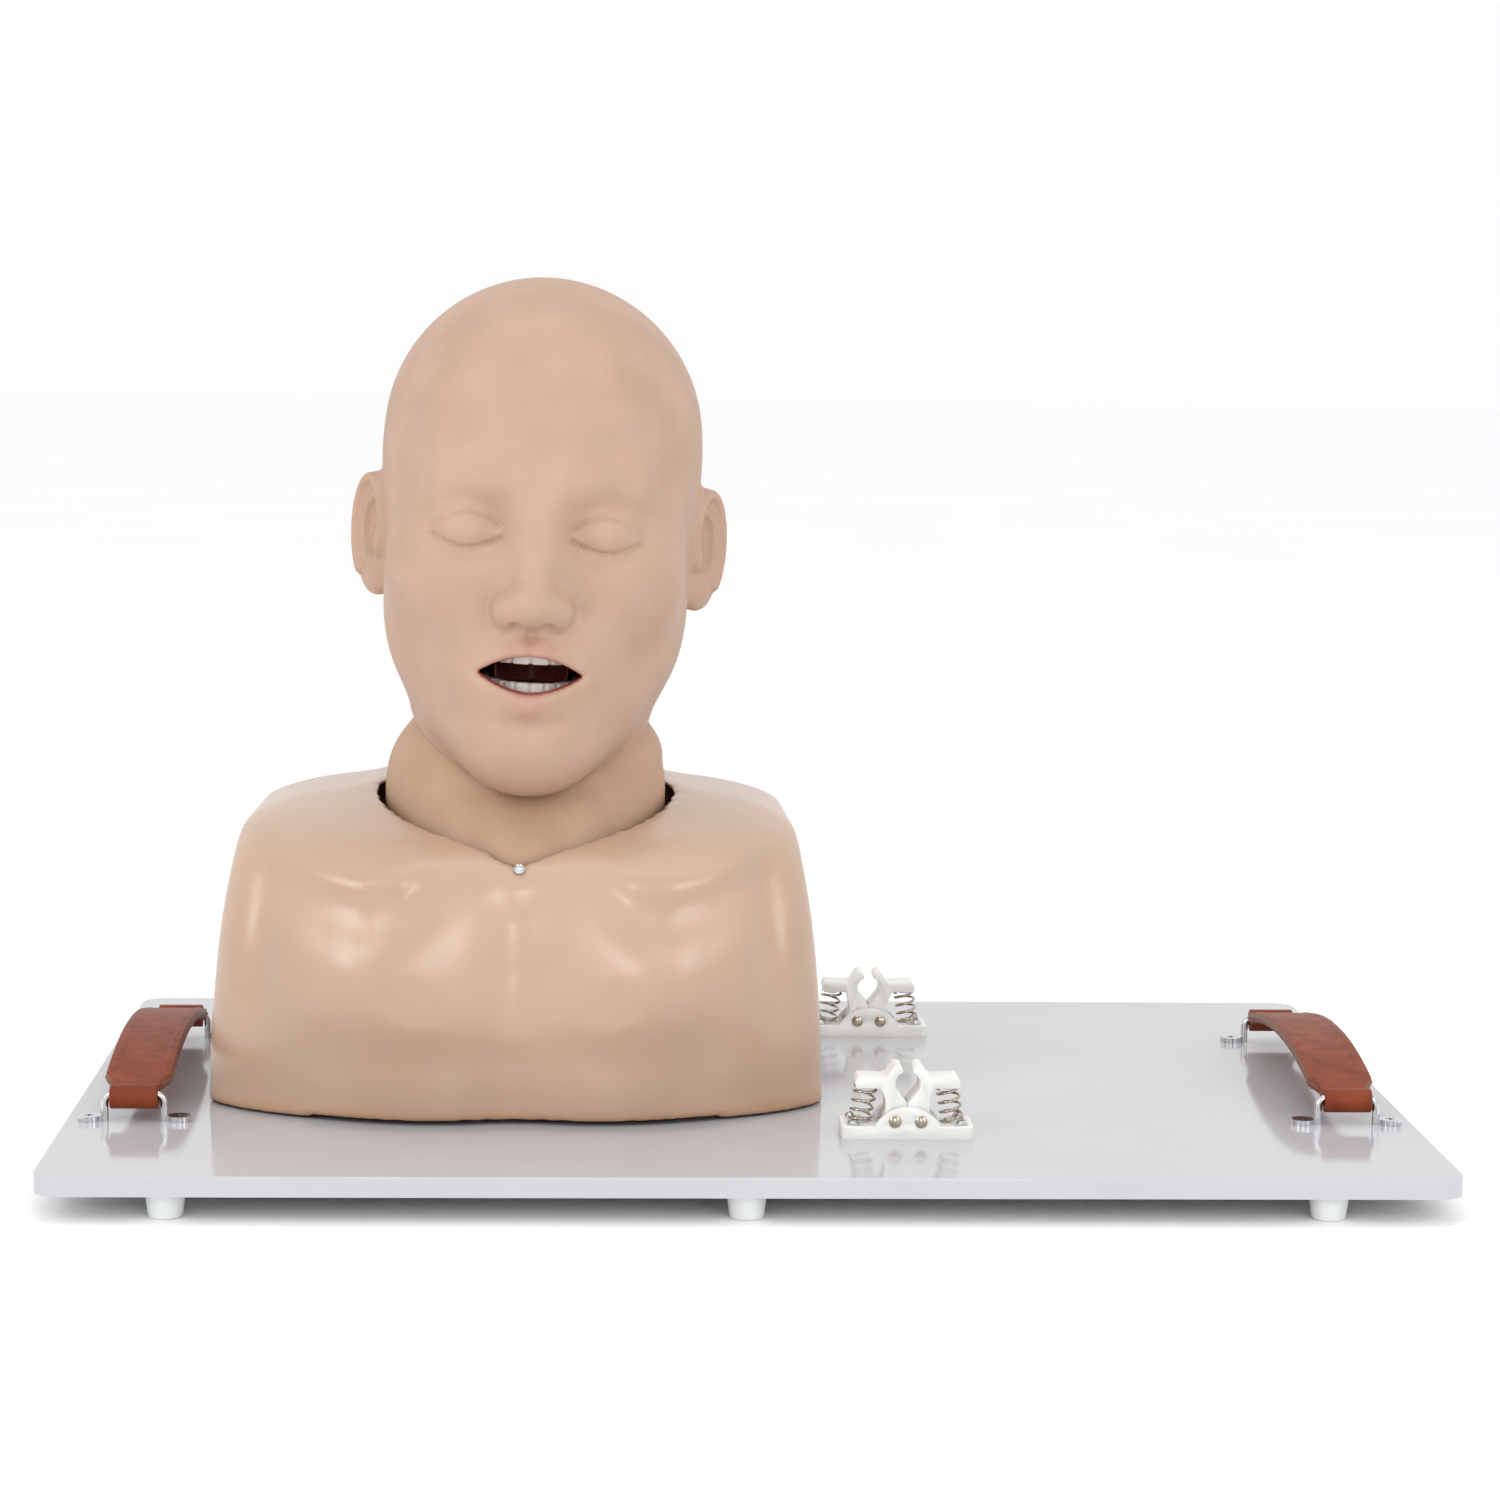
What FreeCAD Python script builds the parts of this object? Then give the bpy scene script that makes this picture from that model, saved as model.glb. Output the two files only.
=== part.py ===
import FreeCAD, Part
import math
import os

os.makedirs("parts", exist_ok=True)
V = FreeCAD.Vector

# Airway management trainer: a head, neck and chest on a carrying board.
# Lengths in mm, +Z up, the front looks along -Y, the origin is under the board's middle on the floor.

# Board and feet
board_w = 620.0
board_d = 400.0
board_t = 9.0
board_corner = 12.0
board_edge = 1.0
foot_h = 12.0
foot_top_d = 18.0
foot_low_d = 14.8
foot_rows = (-185.0, 185.0)
foot_columns = (-254.0, -3.0, 252.0)
foot_screw_d = 4.0
foot_head_d = 7.6
foot_head_h = 2.6
board_top = foot_h + board_t
screw_slack = 0.05

# Carrying handles
handle_x = 278.5
bail_y = 94.0
bail_wire = 3.5
bail_leg = 13.5
bail_bend = 4.0
bail_bar_z = 12.3
eyelet_x = 20.4
eyelet_d = 10.4
eyelet_h = 2.7
small_screw_d = 2.6
strap_w = 30.0
strap_tongue_w = 22.0
strap_t = 5.0
strap_rise = 27.6
strap_loop_r = 5.6
strap_eye_r = 2.7

# Tube clips
clip_x = 72.0
clip_front_y = -115.5
clip_rear_y = 114.6
clip_w = 60.0
clip_d = 24.0
clip_h = 6.0
ear_w = 30.0
ear_top = 14.6
ear_t = 3.4
pin_x = 5.9
pin_z = 8.2
pin_d = 3.0
pin_head_d = 5.8
pin_clear = 0.05
arm_d = 16.0
arm_gap = 0.15
jaw_r = 5.7
jaw_z = 24.7
tab_x = 23.75
tab_low = 22.6
tab_high = 27.5
spring_r = 4.85
spring_wire = 1.3
spring_turns = 4.6
spring_low_x = 21.0
spring_high_x = 18.5

# Chest
chest_x = -105.5
chest_wall = 3.0
chest_back_y = 85.0
chest_top_z = 163.5
side_screw_z = 56.0
side_screw_y = 30.0

# Head and neck
head_at = V(-97.5, 12.0, 286.0)
head_roll = 2.4
skin_t = 4.5
skull_t = 4.0
neck_r = 54.5
neck_wall = 4.0
rim_r = 57.0
rim_slack = 0.5
rim_slope = 0.45
rim_z = -85.0
tilt_z = 150.0
spindle_r = 9.0
bearing_slack = 0.05
jaw_axis_y = -2.0
jaw_axis_z = -14.0
jaw_pin_d = 6.0
tooth_gum_up = -49.0
tooth_tip_up = -57.0
tooth_gum_low = -73.5
tooth_tip_low = -65.5


def save(name, shape):
    solids = shape.Solids
    whole = solids[0] if len(solids) == 1 else Part.makeCompound(solids)
    whole.exportStep("parts/" + name + ".step")
    print(name, len(solids), round(whole.Volume, 1), whole.isValid())


def block(x0, x1, y0, y1, z0, z1):
    return Part.makeBox(x1 - x0, y1 - y0, z1 - z0, V(x0, y0, z0))


def post(x, y, z, r, h):
    return Part.makeCylinder(r, h, V(x, y, z))


def cone(x, y, z, r0, r1, h):
    return Part.makeCone(r0, r1, h, V(x, y, z))


def rod_x(x0, x1, y, z, r):
    return Part.makeCylinder(r, x1 - x0, V(x0, y, z), V(1, 0, 0))


def rod_y(x, y0, y1, z, r):
    return Part.makeCylinder(r, y1 - y0, V(x, y0, z), V(0, 1, 0))


def union(shapes):
    whole = shapes[0]
    if len(shapes) > 1:
        whole = whole.fuse(shapes[1:])
    return whole.removeSplitter()


def group(shapes):
    return Part.makeCompound(shapes)


def rounded_slab(x0, x1, y0, y1, z0, z1, r, edge=0.0):
    slab = block(x0, x1, y0, y1, z0, z1)
    upright = [e for e in slab.Edges if abs(e.Vertexes[0].Z - e.Vertexes[1].Z) > 1e-6]
    slab = slab.makeFillet(r, upright)
    if edge > 0:
        rims = [e for e in slab.Edges if e.BoundBox.ZMin > z1 - 1e-6]
        slab = slab.makeFillet(edge, rims)
    return slab


def ellipsoid(centre, radii):
    ball = Part.makeSphere(1.0)
    m = FreeCAD.Matrix()
    m.A11, m.A22, m.A33 = radii
    m.A14, m.A24, m.A34 = centre
    return ball.transformGeometry(m)


def cross_recess(x, y, z, size, depth):
    w = size * 0.26
    a = block(x - size / 2, x + size / 2, y - w / 2, y + w / 2, z - depth, z + 1)
    b = block(x - w / 2, x + w / 2, y - size / 2, y + size / 2, z - depth, z + 1)
    return a.fuse(b)


def pan_screw(x, y, z, head_d, head_h, shank_d, length):
    # Upright screw: head seated at height z, shank going down, cross recess on top
    crown = head_h * 0.55
    low = post(x, y, z, head_d / 2, head_h - crown)
    top = cone(x, y, z + head_h - crown, head_d / 2, head_d / 2 * 0.62, crown)
    shank = post(x, y, z - length, shank_d / 2, length)
    screw = low.fuse([top, shank]).removeSplitter()
    return screw.cut(cross_recess(x, y, z + head_h, head_d * 0.6, head_h * 0.5))


def sunk_screw(x, y, z, head_d, shank_d, length):
    # Countersunk screw whose flat top is at height z
    head_h = (head_d - shank_d) / 2
    head = cone(x, y, z - head_h, shank_d / 2, head_d / 2, head_h)
    shank = post(x, y, z - length, shank_d / 2, length - head_h)
    screw = head.fuse(shank).removeSplitter()
    return screw.cut(cross_recess(x, y, z, head_d * 0.6, head_h * 0.7))


def blend_value(z, table):
    # Smooth value between the stations of a short table, with no overshoot
    zs = [row[0] for row in table]
    vs = [row[1] for row in table]
    n = len(zs)
    rise = [(vs[i + 1] - vs[i]) / (zs[i + 1] - zs[i]) for i in range(n - 1)]
    slope = [rise[0]]
    for i in range(1, n - 1):
        flat = rise[i - 1] * rise[i] <= 0
        slope.append(0.0 if flat else 2 * rise[i - 1] * rise[i] / (rise[i - 1] + rise[i]))
    slope.append(rise[-1])
    i = max(j for j in range(n - 1) if z >= zs[j] or j == 0)
    h = zs[i + 1] - zs[i]
    t = max(0.0, min(1.0, (z - zs[i]) / h))
    keep = (1 + 2 * t) * (1 - t) ** 2
    part = t * (1 - t) ** 2 * slope[i] - t * t * (1 - t) * slope[i + 1]
    return keep * vs[i] + (1 - keep) * vs[i + 1] + h * part


# Chest outline: half width, front corner, front depth and back line against height
width_low = ((21, 144.0), (66, 142.0), (104, 138.4), (134, 133.6), (146, 131.0))
half_width = width_low + ((152.8, 123.0), (157.7, 105.0), (163.5, 72.0))
front_corner = ((21, -50.0), (100, -46.0), (134, -34.0), (146, -16.0), (155, 2.0), (163.5, 24.0))
depth_low = ((21, -100.0), (70, -107.0), (110, -103.0), (134, -94.0))
front_depth = depth_low + ((145, -83.0), (152, -62.0), (158, -34.0), (163.5, -2.0))
back_line = ((21, 85.0), (146, 85.0), (163.5, 80.0))
side_round = 16.0
side_taper = 2.0
bulge_rise = 5.5
groove_fall = 1.0


def front_line(x, z, inset=0.0):
    # Front of the shell at a distance x from its middle: two soft bulges with a groove between
    hw = blend_value(z, half_width) - inset
    corner = blend_value(z, front_corner)
    front = blend_value(z, front_depth) + inset
    fade = max(0.0, min(1.0, (150.0 - z) / 60.0))
    rest = max(0.0, 1.0 - abs(x / hw) ** 2.6)
    bulge = math.exp(-(((abs(x) - 50.0) / 40.0) ** 2))
    groove = math.exp(-((x / 15.0) ** 2))
    return corner + (front - corner) * rest**0.62 - fade * (bulge_rise * bulge - groove_fall * groove)


def shell_half(y, z):
    # Half width of the shell's outside where its side runs straight back
    corner = blend_value(z, front_corner)
    back = blend_value(z, back_line) - side_round
    return blend_value(z, half_width) - side_taper * (y - corner) / (back - corner)


# Board with blind holes for every screw that enters it
holes = []
foot_places = [(x, y) for y in foot_rows for x in foot_columns]
for x, y in foot_places:
    holes.append(post(x, y, foot_h, foot_screw_d / 2 + screw_slack, 7.0))

bail_places = []
for side, sx in (("left", -1), ("right", 1)):
    for end, sy in (("front", -1), ("rear", 1)):
        bail_places.append((side + "_" + end + "_bail", sx * handle_x, sy * bail_y))
small_hole_r = small_screw_d / 2 + screw_slack
for name, x, y in bail_places:
    for s in (-1, 1):
        holes.append(post(x + s * eyelet_x, y, board_top - 7.0, small_hole_r, 7.0))

clip_places = (("front_clip", clip_front_y), ("rear_clip", clip_rear_y))
clip_corners = [(sx * 24.6, sy * (clip_d / 2 - 4.0)) for sx in (-1, 1) for sy in (-1, 1)]
for name, y in clip_places:
    for dx, dy in clip_corners:
        holes.append(post(clip_x + dx, y + dy, board_top - 7.0, small_hole_r, 7.0))

post_x = head_at.x - (head_at.z - tilt_z) * math.sin(math.radians(head_roll))
flange_w = 76.0
flange_d = 60.0
flange_h = 5.0
flange_screws = [(post_x + sx * 30.0, head_at.y + sy * 22.0) for sx in (-1, 1) for sy in (-1, 1)]
for x, y in flange_screws:
    holes.append(post(x, y, board_top - 7.0, foot_screw_d / 2 + screw_slack, 7.0))

bracket_w = 26.0
bracket_h = 46.0
bracket_foot = 24.0
bracket_t = 3.0
bracket_gap = 0.35
bracket_reach = shell_half(side_screw_y + bracket_w / 2, board_top + bracket_h) - chest_wall - bracket_gap
bracket_screws = []
for s in (-1, 1):
    bracket_screws.append((chest_x + s * (bracket_reach - bracket_foot + 8.0), side_screw_y, s))
for x, y, s in bracket_screws:
    holes.append(post(x, y, board_top - 7.0, foot_screw_d / 2 + screw_slack, 7.0))

board = rounded_slab(
    -board_w / 2, board_w / 2, -board_d / 2, board_d / 2, foot_h, board_top, board_corner, board_edge
)
save("board", board.cut(holes))

# Conical rubber feet, each held by a screw in a counterbore
foot_names = ["front_left", "front_middle", "front_right", "rear_left", "rear_middle", "rear_right"]
foot_screws = []
for name, (x, y) in zip(foot_names, foot_places):
    foot = cone(x, y, 0, foot_low_d / 2, foot_top_d / 2, foot_h)
    floor_rim = [e for e in foot.Edges if e.BoundBox.ZMax < 1e-6]
    foot = foot.makeFillet(1.2, floor_rim)
    bore = post(x, y, 0, foot_head_d / 2 + 0.3, foot_h / 2)
    foot = foot.cut([bore, post(x, y, 0, foot_screw_d / 2 + screw_slack, foot_h)])
    save(name + "_foot", foot)
    head = post(x, y, foot_h / 2 - foot_head_h, foot_head_d / 2, foot_head_h)
    recess = cross_recess(x, y, 0, 4.4, 1.4)
    recess.translate(V(0, 0, foot_h / 2 - foot_head_h - 0.2))
    shank = post(x, y, foot_h / 2, foot_screw_d / 2, foot_h / 2 + 6.5)
    foot_screws.append(head.fuse(shank).removeSplitter().cut(recess))
save("foot_screws", group(foot_screws))

# Handle bails: a bent wire bridge with an eyelet beside each leg
bail_screws = []
for name, x, y in bail_places:
    r = bail_wire / 2
    zt = board_top + bail_bar_z
    b = bail_bend
    k = b * (1 - math.sqrt(0.5))
    left = x - bail_leg
    right = x + bail_leg
    p = [
        V(left, y, board_top),
        V(left, y, zt - b),
        V(left + k, y, zt - k),
        V(left + b, y, zt),
        V(right - b, y, zt),
        V(right - k, y, zt - k),
        V(right, y, zt - b),
        V(right, y, board_top),
    ]
    path = Part.Wire(
        [
            Part.makeLine(p[0], p[1]),
            Part.Arc(p[1], p[2], p[3]).toShape(),
            Part.makeLine(p[3], p[4]),
            Part.Arc(p[4], p[5], p[6]).toShape(),
            Part.makeLine(p[6], p[7]),
        ]
    )
    ring = Part.Wire(Part.makeCircle(r, p[0], V(0, 0, 1)))
    parts = [path.makePipeShell([ring], True, False)]
    cuts = []
    for s in (-1, 1):
        ex = x + s * eyelet_x
        parts.append(post(ex, y, board_top, eyelet_d / 2, eyelet_h))
        lo = min(x + s * bail_leg, ex)
        hi = max(x + s * bail_leg, ex)
        parts.append(block(lo, hi, y - 1.4, y + 1.4, board_top, board_top + eyelet_h))
        head_h = (6.6 - small_screw_d) / 2
        cuts.append(post(ex, y, board_top, small_hole_r, eyelet_h))
        seat_z = board_top + eyelet_h - head_h
        cuts.append(cone(ex, y, seat_z, small_screw_d / 2, 6.6 / 2, head_h))
        bail_screws.append(sunk_screw(ex, y, board_top + eyelet_h, 6.6, small_screw_d, 9.0))
    save(name, union(parts).cut(cuts))
save("bail_screws", group(bail_screws))

# Leather straps: two stitched layers, arched, with a tongue looped round each bail
for side, sx in (("left", -1), ("right", 1)):
    x = sx * handle_x
    loop_z = board_top + bail_bar_z - (strap_eye_r - bail_wire / 2)
    end_y = bail_y - 3.4
    top_z = board_top + strap_rise
    a = [V(x, -end_y, loop_z + strap_t / 2 + 1.0), V(x, 0, top_z), V(x, end_y, loop_z + strap_t / 2 + 1.0)]
    b = [q - V(0, 0, strap_t) for q in a]
    outline = Part.Wire(
        [
            Part.Arc(a[0], a[1], a[2]).toShape(),
            Part.makeLine(a[2], b[2]),
            Part.Arc(b[2], b[1], b[0]).toShape(),
            Part.makeLine(b[0], a[0]),
        ]
    )
    arch = Part.Face(outline).extrude(V(strap_w, 0, 0))
    arch.translate(V(-strap_w / 2, 0, 0))
    w = strap_w / 2
    t = strap_tongue_w / 2
    plan_points = [
        V(x - w, -76, 0),
        V(x - t, -84, 0),
        V(x - t, -bail_y, 0),
        V(x + t, -bail_y, 0),
        V(x + t, -84, 0),
        V(x + w, -76, 0),
        V(x + w, 76, 0),
        V(x + t, 84, 0),
        V(x + t, bail_y, 0),
        V(x - t, bail_y, 0),
        V(x - t, 84, 0),
        V(x - w, 76, 0),
    ]
    plan = Part.Face(Part.makePolygon(plan_points + plan_points[:1])).extrude(V(0, 0, 100))
    strap = arch.common(plan)
    loops = []
    eyes = []
    for s in (-1, 1):
        loops.append(rod_x(x - t, x + t, s * bail_y, loop_z, strap_loop_r))
        eyes.append(rod_x(x - t - 5, x + t + 5, s * bail_y, loop_z, strap_eye_r))
    save(side + "_handle_strap", union([strap] + loops).cut(eyes))


def arc_through(a, b, c):
    return Part.Arc(V(a[0], 0, a[1]), V(b[0], 0, b[1]), V(c[0], 0, c[1])).toShape()


def line_between(a, b):
    return Part.makeLine(V(a[0], 0, a[1]), V(b[0], 0, b[1]))


# Right-hand clip arm in the X-Z plane: hub, meeting face, V, jaw circle, tip and finger tab
def clip_arm():
    foot_of_v = (arm_gap, jaw_z - 8.9)
    reach = math.hypot(foot_of_v[0], 8.9)
    lean = math.asin(jaw_r / reach)
    run = math.sqrt(reach**2 - jaw_r**2)
    touch = (foot_of_v[0] + run * math.sin(lean), foot_of_v[1] + run * math.cos(lean))
    start = math.atan2(touch[1] - jaw_z, touch[0])
    touch = (jaw_r * math.cos(start), jaw_z + jaw_r * math.sin(start))
    tip_angle = math.radians(67.0)
    tip_in = (jaw_r * math.cos(tip_angle), jaw_z + jaw_r * math.sin(tip_angle))
    tip_low = (tip_in[0] + 0.2, tip_in[1] + 1.5)
    tip_top = (tip_in[0] + 2.2, tip_in[1] + 3.1)
    tip_out = (tip_in[0] + 4.4, tip_in[1] + 2.2)
    neck_out = (jaw_r + 3.6, jaw_z + 3.4)
    tab_root_high = (jaw_r + 5.4, tab_high - 0.3)
    tab_end_high = (tab_x - 1.6, tab_high + 0.2)
    tab_end = (tab_x, (tab_low + tab_high) / 2 + 0.4)
    tab_end_low = (tab_x - 0.8, tab_low)
    tab_root_low = (pin_x + 6.4, tab_low)
    side_mid = (pin_x + 5.2, tab_low - 2.2)
    side_low = (pin_x + 4.9, pin_z + 1.0)
    hub_low = (pin_x, pin_z - 4.9)
    hub_in = (pin_x - 4.9, pin_z - 0.4)
    meet_low = (arm_gap, pin_z + 3.0)
    edges = [
        line_between(meet_low, foot_of_v),
        line_between(foot_of_v, touch),
        arc_through(touch, (jaw_r, jaw_z), tip_in),
        line_between(tip_in, tip_low),
        arc_through(tip_low, tip_top, tip_out),
        line_between(tip_out, neck_out),
        line_between(neck_out, tab_root_high),
        line_between(tab_root_high, tab_end_high),
        arc_through(tab_end_high, tab_end, tab_end_low),
        line_between(tab_end_low, tab_root_low),
        arc_through(tab_root_low, side_mid, side_low),
        arc_through(side_low, hub_low, hub_in),
        line_between(hub_in, meet_low),
    ]
    face = Part.Face(Part.Wire(edges))
    arm = face.extrude(V(0, arm_d, 0))
    arm.translate(V(0, -arm_d / 2, 0))
    seat = post((spring_high_x + tab_x) / 2 - 2.6, 0, tab_low - 1.4, 2.9, 1.4)
    arm = arm.fuse(seat).removeSplitter()
    return arm.cut(rod_y(pin_x, -arm_d, arm_d, pin_z, pin_d / 2 + pin_clear))


def clip_base():
    base = rounded_slab(-clip_w / 2, clip_w / 2, -clip_d / 2, clip_d / 2, 0, clip_h, 3.0, 0.6)
    shapes = [base]
    dome = Part.Wire(
        [
            line_between((ear_w / 2, clip_h - 1.0), (-ear_w / 2, clip_h - 1.0)),
            line_between((-ear_w / 2, clip_h - 1.0), (-ear_w / 2, clip_h)),
            arc_through((-ear_w / 2, clip_h), (0, ear_top), (ear_w / 2, clip_h)),
            line_between((ear_w / 2, clip_h), (ear_w / 2, clip_h - 1.0)),
        ]
    )
    for y in (-clip_d / 2, clip_d / 2 - ear_t):
        ear = Part.Face(dome).extrude(V(0, ear_t, 0))
        ear.translate(V(0, y, 0))
        shapes.append(ear)
    for s in (-1, 1):
        shapes.append(post(s * spring_low_x, 0, clip_h, 2.9, 1.4))
    base = union(shapes)
    inner = clip_d / 2 - ear_t
    cuts = [block(-12.4, 12.4, -inner, inner, 2.0, clip_h + 0.001)]
    for s in (-1, 1):
        cuts.append(rod_y(s * pin_x, -clip_d, clip_d, pin_z, pin_d / 2))
    for dx, dy in clip_corners:
        cuts.append(post(dx, dy, 0, small_hole_r, clip_h))
    return base.cut(cuts)


def clip_pin():
    half = clip_d / 2
    shapes = [rod_y(pin_x, -half, half, pin_z, pin_d / 2)]
    for s in (-1, 1):
        ball_r = 4.1
        sink = ball_r - 1.3
        ball = Part.makeSphere(ball_r, V(pin_x, s * (half - sink), pin_z))
        cap = rod_y(pin_x, half if s > 0 else -half - 3, half + 3 if s > 0 else -half, pin_z, pin_head_d / 2)
        shapes.append(ball.common(cap))
    return union(shapes)


def clip_spring():
    # Coil along a slightly leaning axis, its ends cut level by the base and the tab
    low = V(spring_low_x, 0, clip_h)
    high = V(spring_high_x, 0, tab_low)
    rise = high - low
    run_out = 1.2
    length = rise.Length + 2 * run_out
    helix = Part.makeHelix(length / spring_turns, length, spring_r)
    start = V(spring_r, 0, 0)
    profile = Part.Wire(Part.makeCircle(spring_wire / 2, start, V(0, 1, 0)))
    coil = Part.Wire(helix).makePipeShell([profile], True, True)
    lean = math.degrees(math.atan2(rise.x, rise.z))
    coil.Placement = FreeCAD.Placement(
        low - rise * (run_out / rise.Length), FreeCAD.Rotation(V(0, 1, 0), lean)
    )
    return coil.common(block(spring_low_x - 20, spring_low_x + 20, -20, 20, clip_h, tab_low))


def mirrored(shape):
    return shape.mirror(V(0, 0, 0), V(1, 0, 0))


right_arm = clip_arm()
right_pin = clip_pin()
right_spring = clip_spring()
base = clip_base()
for name, y in clip_places:
    at = V(clip_x, y, board_top)
    pieces = {
        "base": base,
        "right_arm": right_arm,
        "left_arm": mirrored(right_arm),
        "right_pin": right_pin,
        "left_pin": mirrored(right_pin),
        "right_spring": right_spring,
        "left_spring": mirrored(right_spring),
    }
    for key, shape in pieces.items():
        placed = shape.copy()
        placed.translate(at)
        save(name + "_" + key, placed)
    screws = []
    for dx, dy in clip_corners:
        screws.append(pan_screw(clip_x + dx, y + dy, board_top + clip_h, 5.4, 2.2, small_screw_d, 12.0))
    save(name + "_screws", group(screws))


def smooth_loft(wires):
    return Part.makeLoft(wires, True, False, False, 3)


def closed_curve(points):
    # Even parameters give every section the same knots, which keeps a loft light
    count = len(points)
    even = [i / count for i in range(count + 1)]
    curve = Part.BSplineCurve()
    curve.interpolate(Points=points, PeriodicFlag=True, Parameters=even)
    return Part.Wire(curve.toShape())


def chest_section(z, inset):
    hw = blend_value(z, half_width) - inset
    back = blend_value(z, back_line) - inset
    points = []
    steps = 20
    for i in range(steps + 1):
        u = -1.0 + 2.0 * i / steps
        x = hw * math.sin(u * math.pi / 2)
        points.append(V(chest_x + x, front_line(x, z, inset), z))
    curve = Part.BSplineCurve()
    curve.interpolate(Points=points, Parameters=[i / steps for i in range(steps + 1)])
    a = points[-1]
    side = hw - side_taper
    b = V(chest_x + side, back - side_round, z)
    c = V(chest_x + side - side_round, back, z)
    d = V(chest_x - side + side_round, back, z)
    e = V(chest_x - side, back - side_round, z)
    k = side_round * (1 - math.sqrt(0.5))
    right_mid = V(chest_x + side - k, back - k, z)
    left_mid = V(chest_x - side + k, back - k, z)
    return Part.Wire(
        [
            curve.toShape(),
            Part.makeLine(a, b),
            Part.Arc(b, right_mid, c).toShape(),
            Part.makeLine(c, d),
            Part.Arc(d, left_mid, e).toShape(),
            Part.makeLine(e, points[0]),
        ]
    )


levels = [board_top, 42, 64, 86, 108, 124, 136, 145, 151, 155.5, 159.5, chest_top_z]
outer_chest = smooth_loft([chest_section(z, 0.0) for z in levels])
inner_wires = []
for z in levels:
    drop = chest_wall * max(0.0, (z - 104.0) / (chest_top_z - 104.0))
    wire = chest_section(z, chest_wall)
    wire.translate(V(0, 0, -drop))
    inner_wires.append(wire)
inner_chest = smooth_loft(inner_wires)
inner_low = Part.Face(chest_section(board_top, chest_wall)).extrude(V(0, 0, -1))
inner_chest = inner_chest.fuse(inner_low)

# Neck opening seen from above, as a radius against the angle from the front
opening_front = ((0.0, 100.0), (0.25, 92.0), (0.57, 83.0), (0.9, 76.8))
opening = opening_front + ((1.34, 70.8), (1.95, 68.0), (2.5, 61.6), (math.pi, 56.5))
neck_x = post_x
neck_y = head_at.y


ring_points = []
for i in range(32):
    turn = 2 * math.pi * i / 32
    r = blend_value(min(turn, 2 * math.pi - turn), opening)
    ring_points.append(V(neck_x + r * math.sin(turn), neck_y - r * math.cos(turn), 120))
neck_hole = Part.Face(closed_curve(ring_points)).extrude(V(0, 0, 100))

panel_half = 118.0
panel_top = 134.0
panel_t = 2.6
panel_y = chest_back_y - panel_t
seat = 5.0
back_opening = block(
    chest_x - panel_half, chest_x + panel_half, panel_y, chest_back_y + 5, board_top - 1, panel_top
)
back_light = block(
    chest_x - panel_half + seat,
    chest_x + panel_half - seat,
    panel_y - 10,
    chest_back_y,
    board_top - 1,
    panel_top - seat,
)
front_lift = block(-300, 100, -130, -60, 0, board_top)
front_lift.rotate(V(0, -60, board_top), V(1, 0, 0), -2.2)
side_holes = [
    rod_x(chest_x - 160, chest_x - 120, side_screw_y, side_screw_z, 2.0 + screw_slack),
    rod_x(chest_x + 120, chest_x + 160, side_screw_y, side_screw_z, 2.0 + screw_slack),
]
shell = outer_chest.cut(neck_hole).cut(inner_chest).cut(back_light)

# Ledge inside the back edge that the panel lies on, with bosses for its screws
ledge = block(
    chest_x - panel_half - 4,
    chest_x + panel_half + 4,
    panel_y - 3.0,
    panel_y,
    board_top,
    panel_top + 4,
)
ledge = ledge.cut(back_light)
panel_places = [(chest_x + sx * (panel_half - 7.0), z) for sx in (-1, 1) for z in (44.0, 116.0)]
bosses = [rod_y(x, panel_y - 12.0, panel_y, z, 6.5) for x, z in panel_places]
panel_holes = [rod_y(x, panel_y - 9.0, panel_y + 9.0, z, 1.5 + screw_slack) for x, z in panel_places]
shell = shell.fuse([ledge] + bosses)

# Collar screw, square to the sloping wall below the V of the opening
collar_sink = 0.15
collar_z = 137.2
collar_x = neck_x - 1.0
collar_at = V(collar_x, front_line(collar_x - chest_x, collar_z) + collar_sink, collar_z)
collar_dir = V(0, 1, -1)
collar_dir.normalize()
collar_hole = Part.makeCylinder(1.5 + screw_slack, 14.0, collar_at - collar_dir * 4.0, collar_dir)
shell = shell.cut([back_opening, front_lift, collar_hole] + side_holes + panel_holes)
save("chest_shell", shell)

panel = block(
    chest_x - panel_half + 0.2,
    chest_x + panel_half - 0.2,
    panel_y,
    chest_back_y,
    board_top,
    panel_top - 0.2,
)
save("back_panel", panel.cut(panel_holes))


def laid(screw, at, rotation):
    placed = screw.copy()
    placed.Placement = FreeCAD.Placement(at, rotation)
    return placed


up = V(0, 0, 1)
panel_screw = pan_screw(0, 0, 0, 6.0, 2.2, 3.0, 10.0)
back_turn = FreeCAD.Rotation(up, V(0, 1, 0))
panel_screws = [laid(panel_screw, V(x, chest_back_y, z), back_turn) for x, z in panel_places]
save("panel_screws", group(panel_screws))
collar_screw = pan_screw(0, 0, 0, 5.4, 2.2, 3.0, 9.0)
collar_turn = FreeCAD.Rotation(up, collar_dir * -1)
save("collar_screw", laid(collar_screw, collar_at - collar_dir * 0.4, collar_turn))

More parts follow.
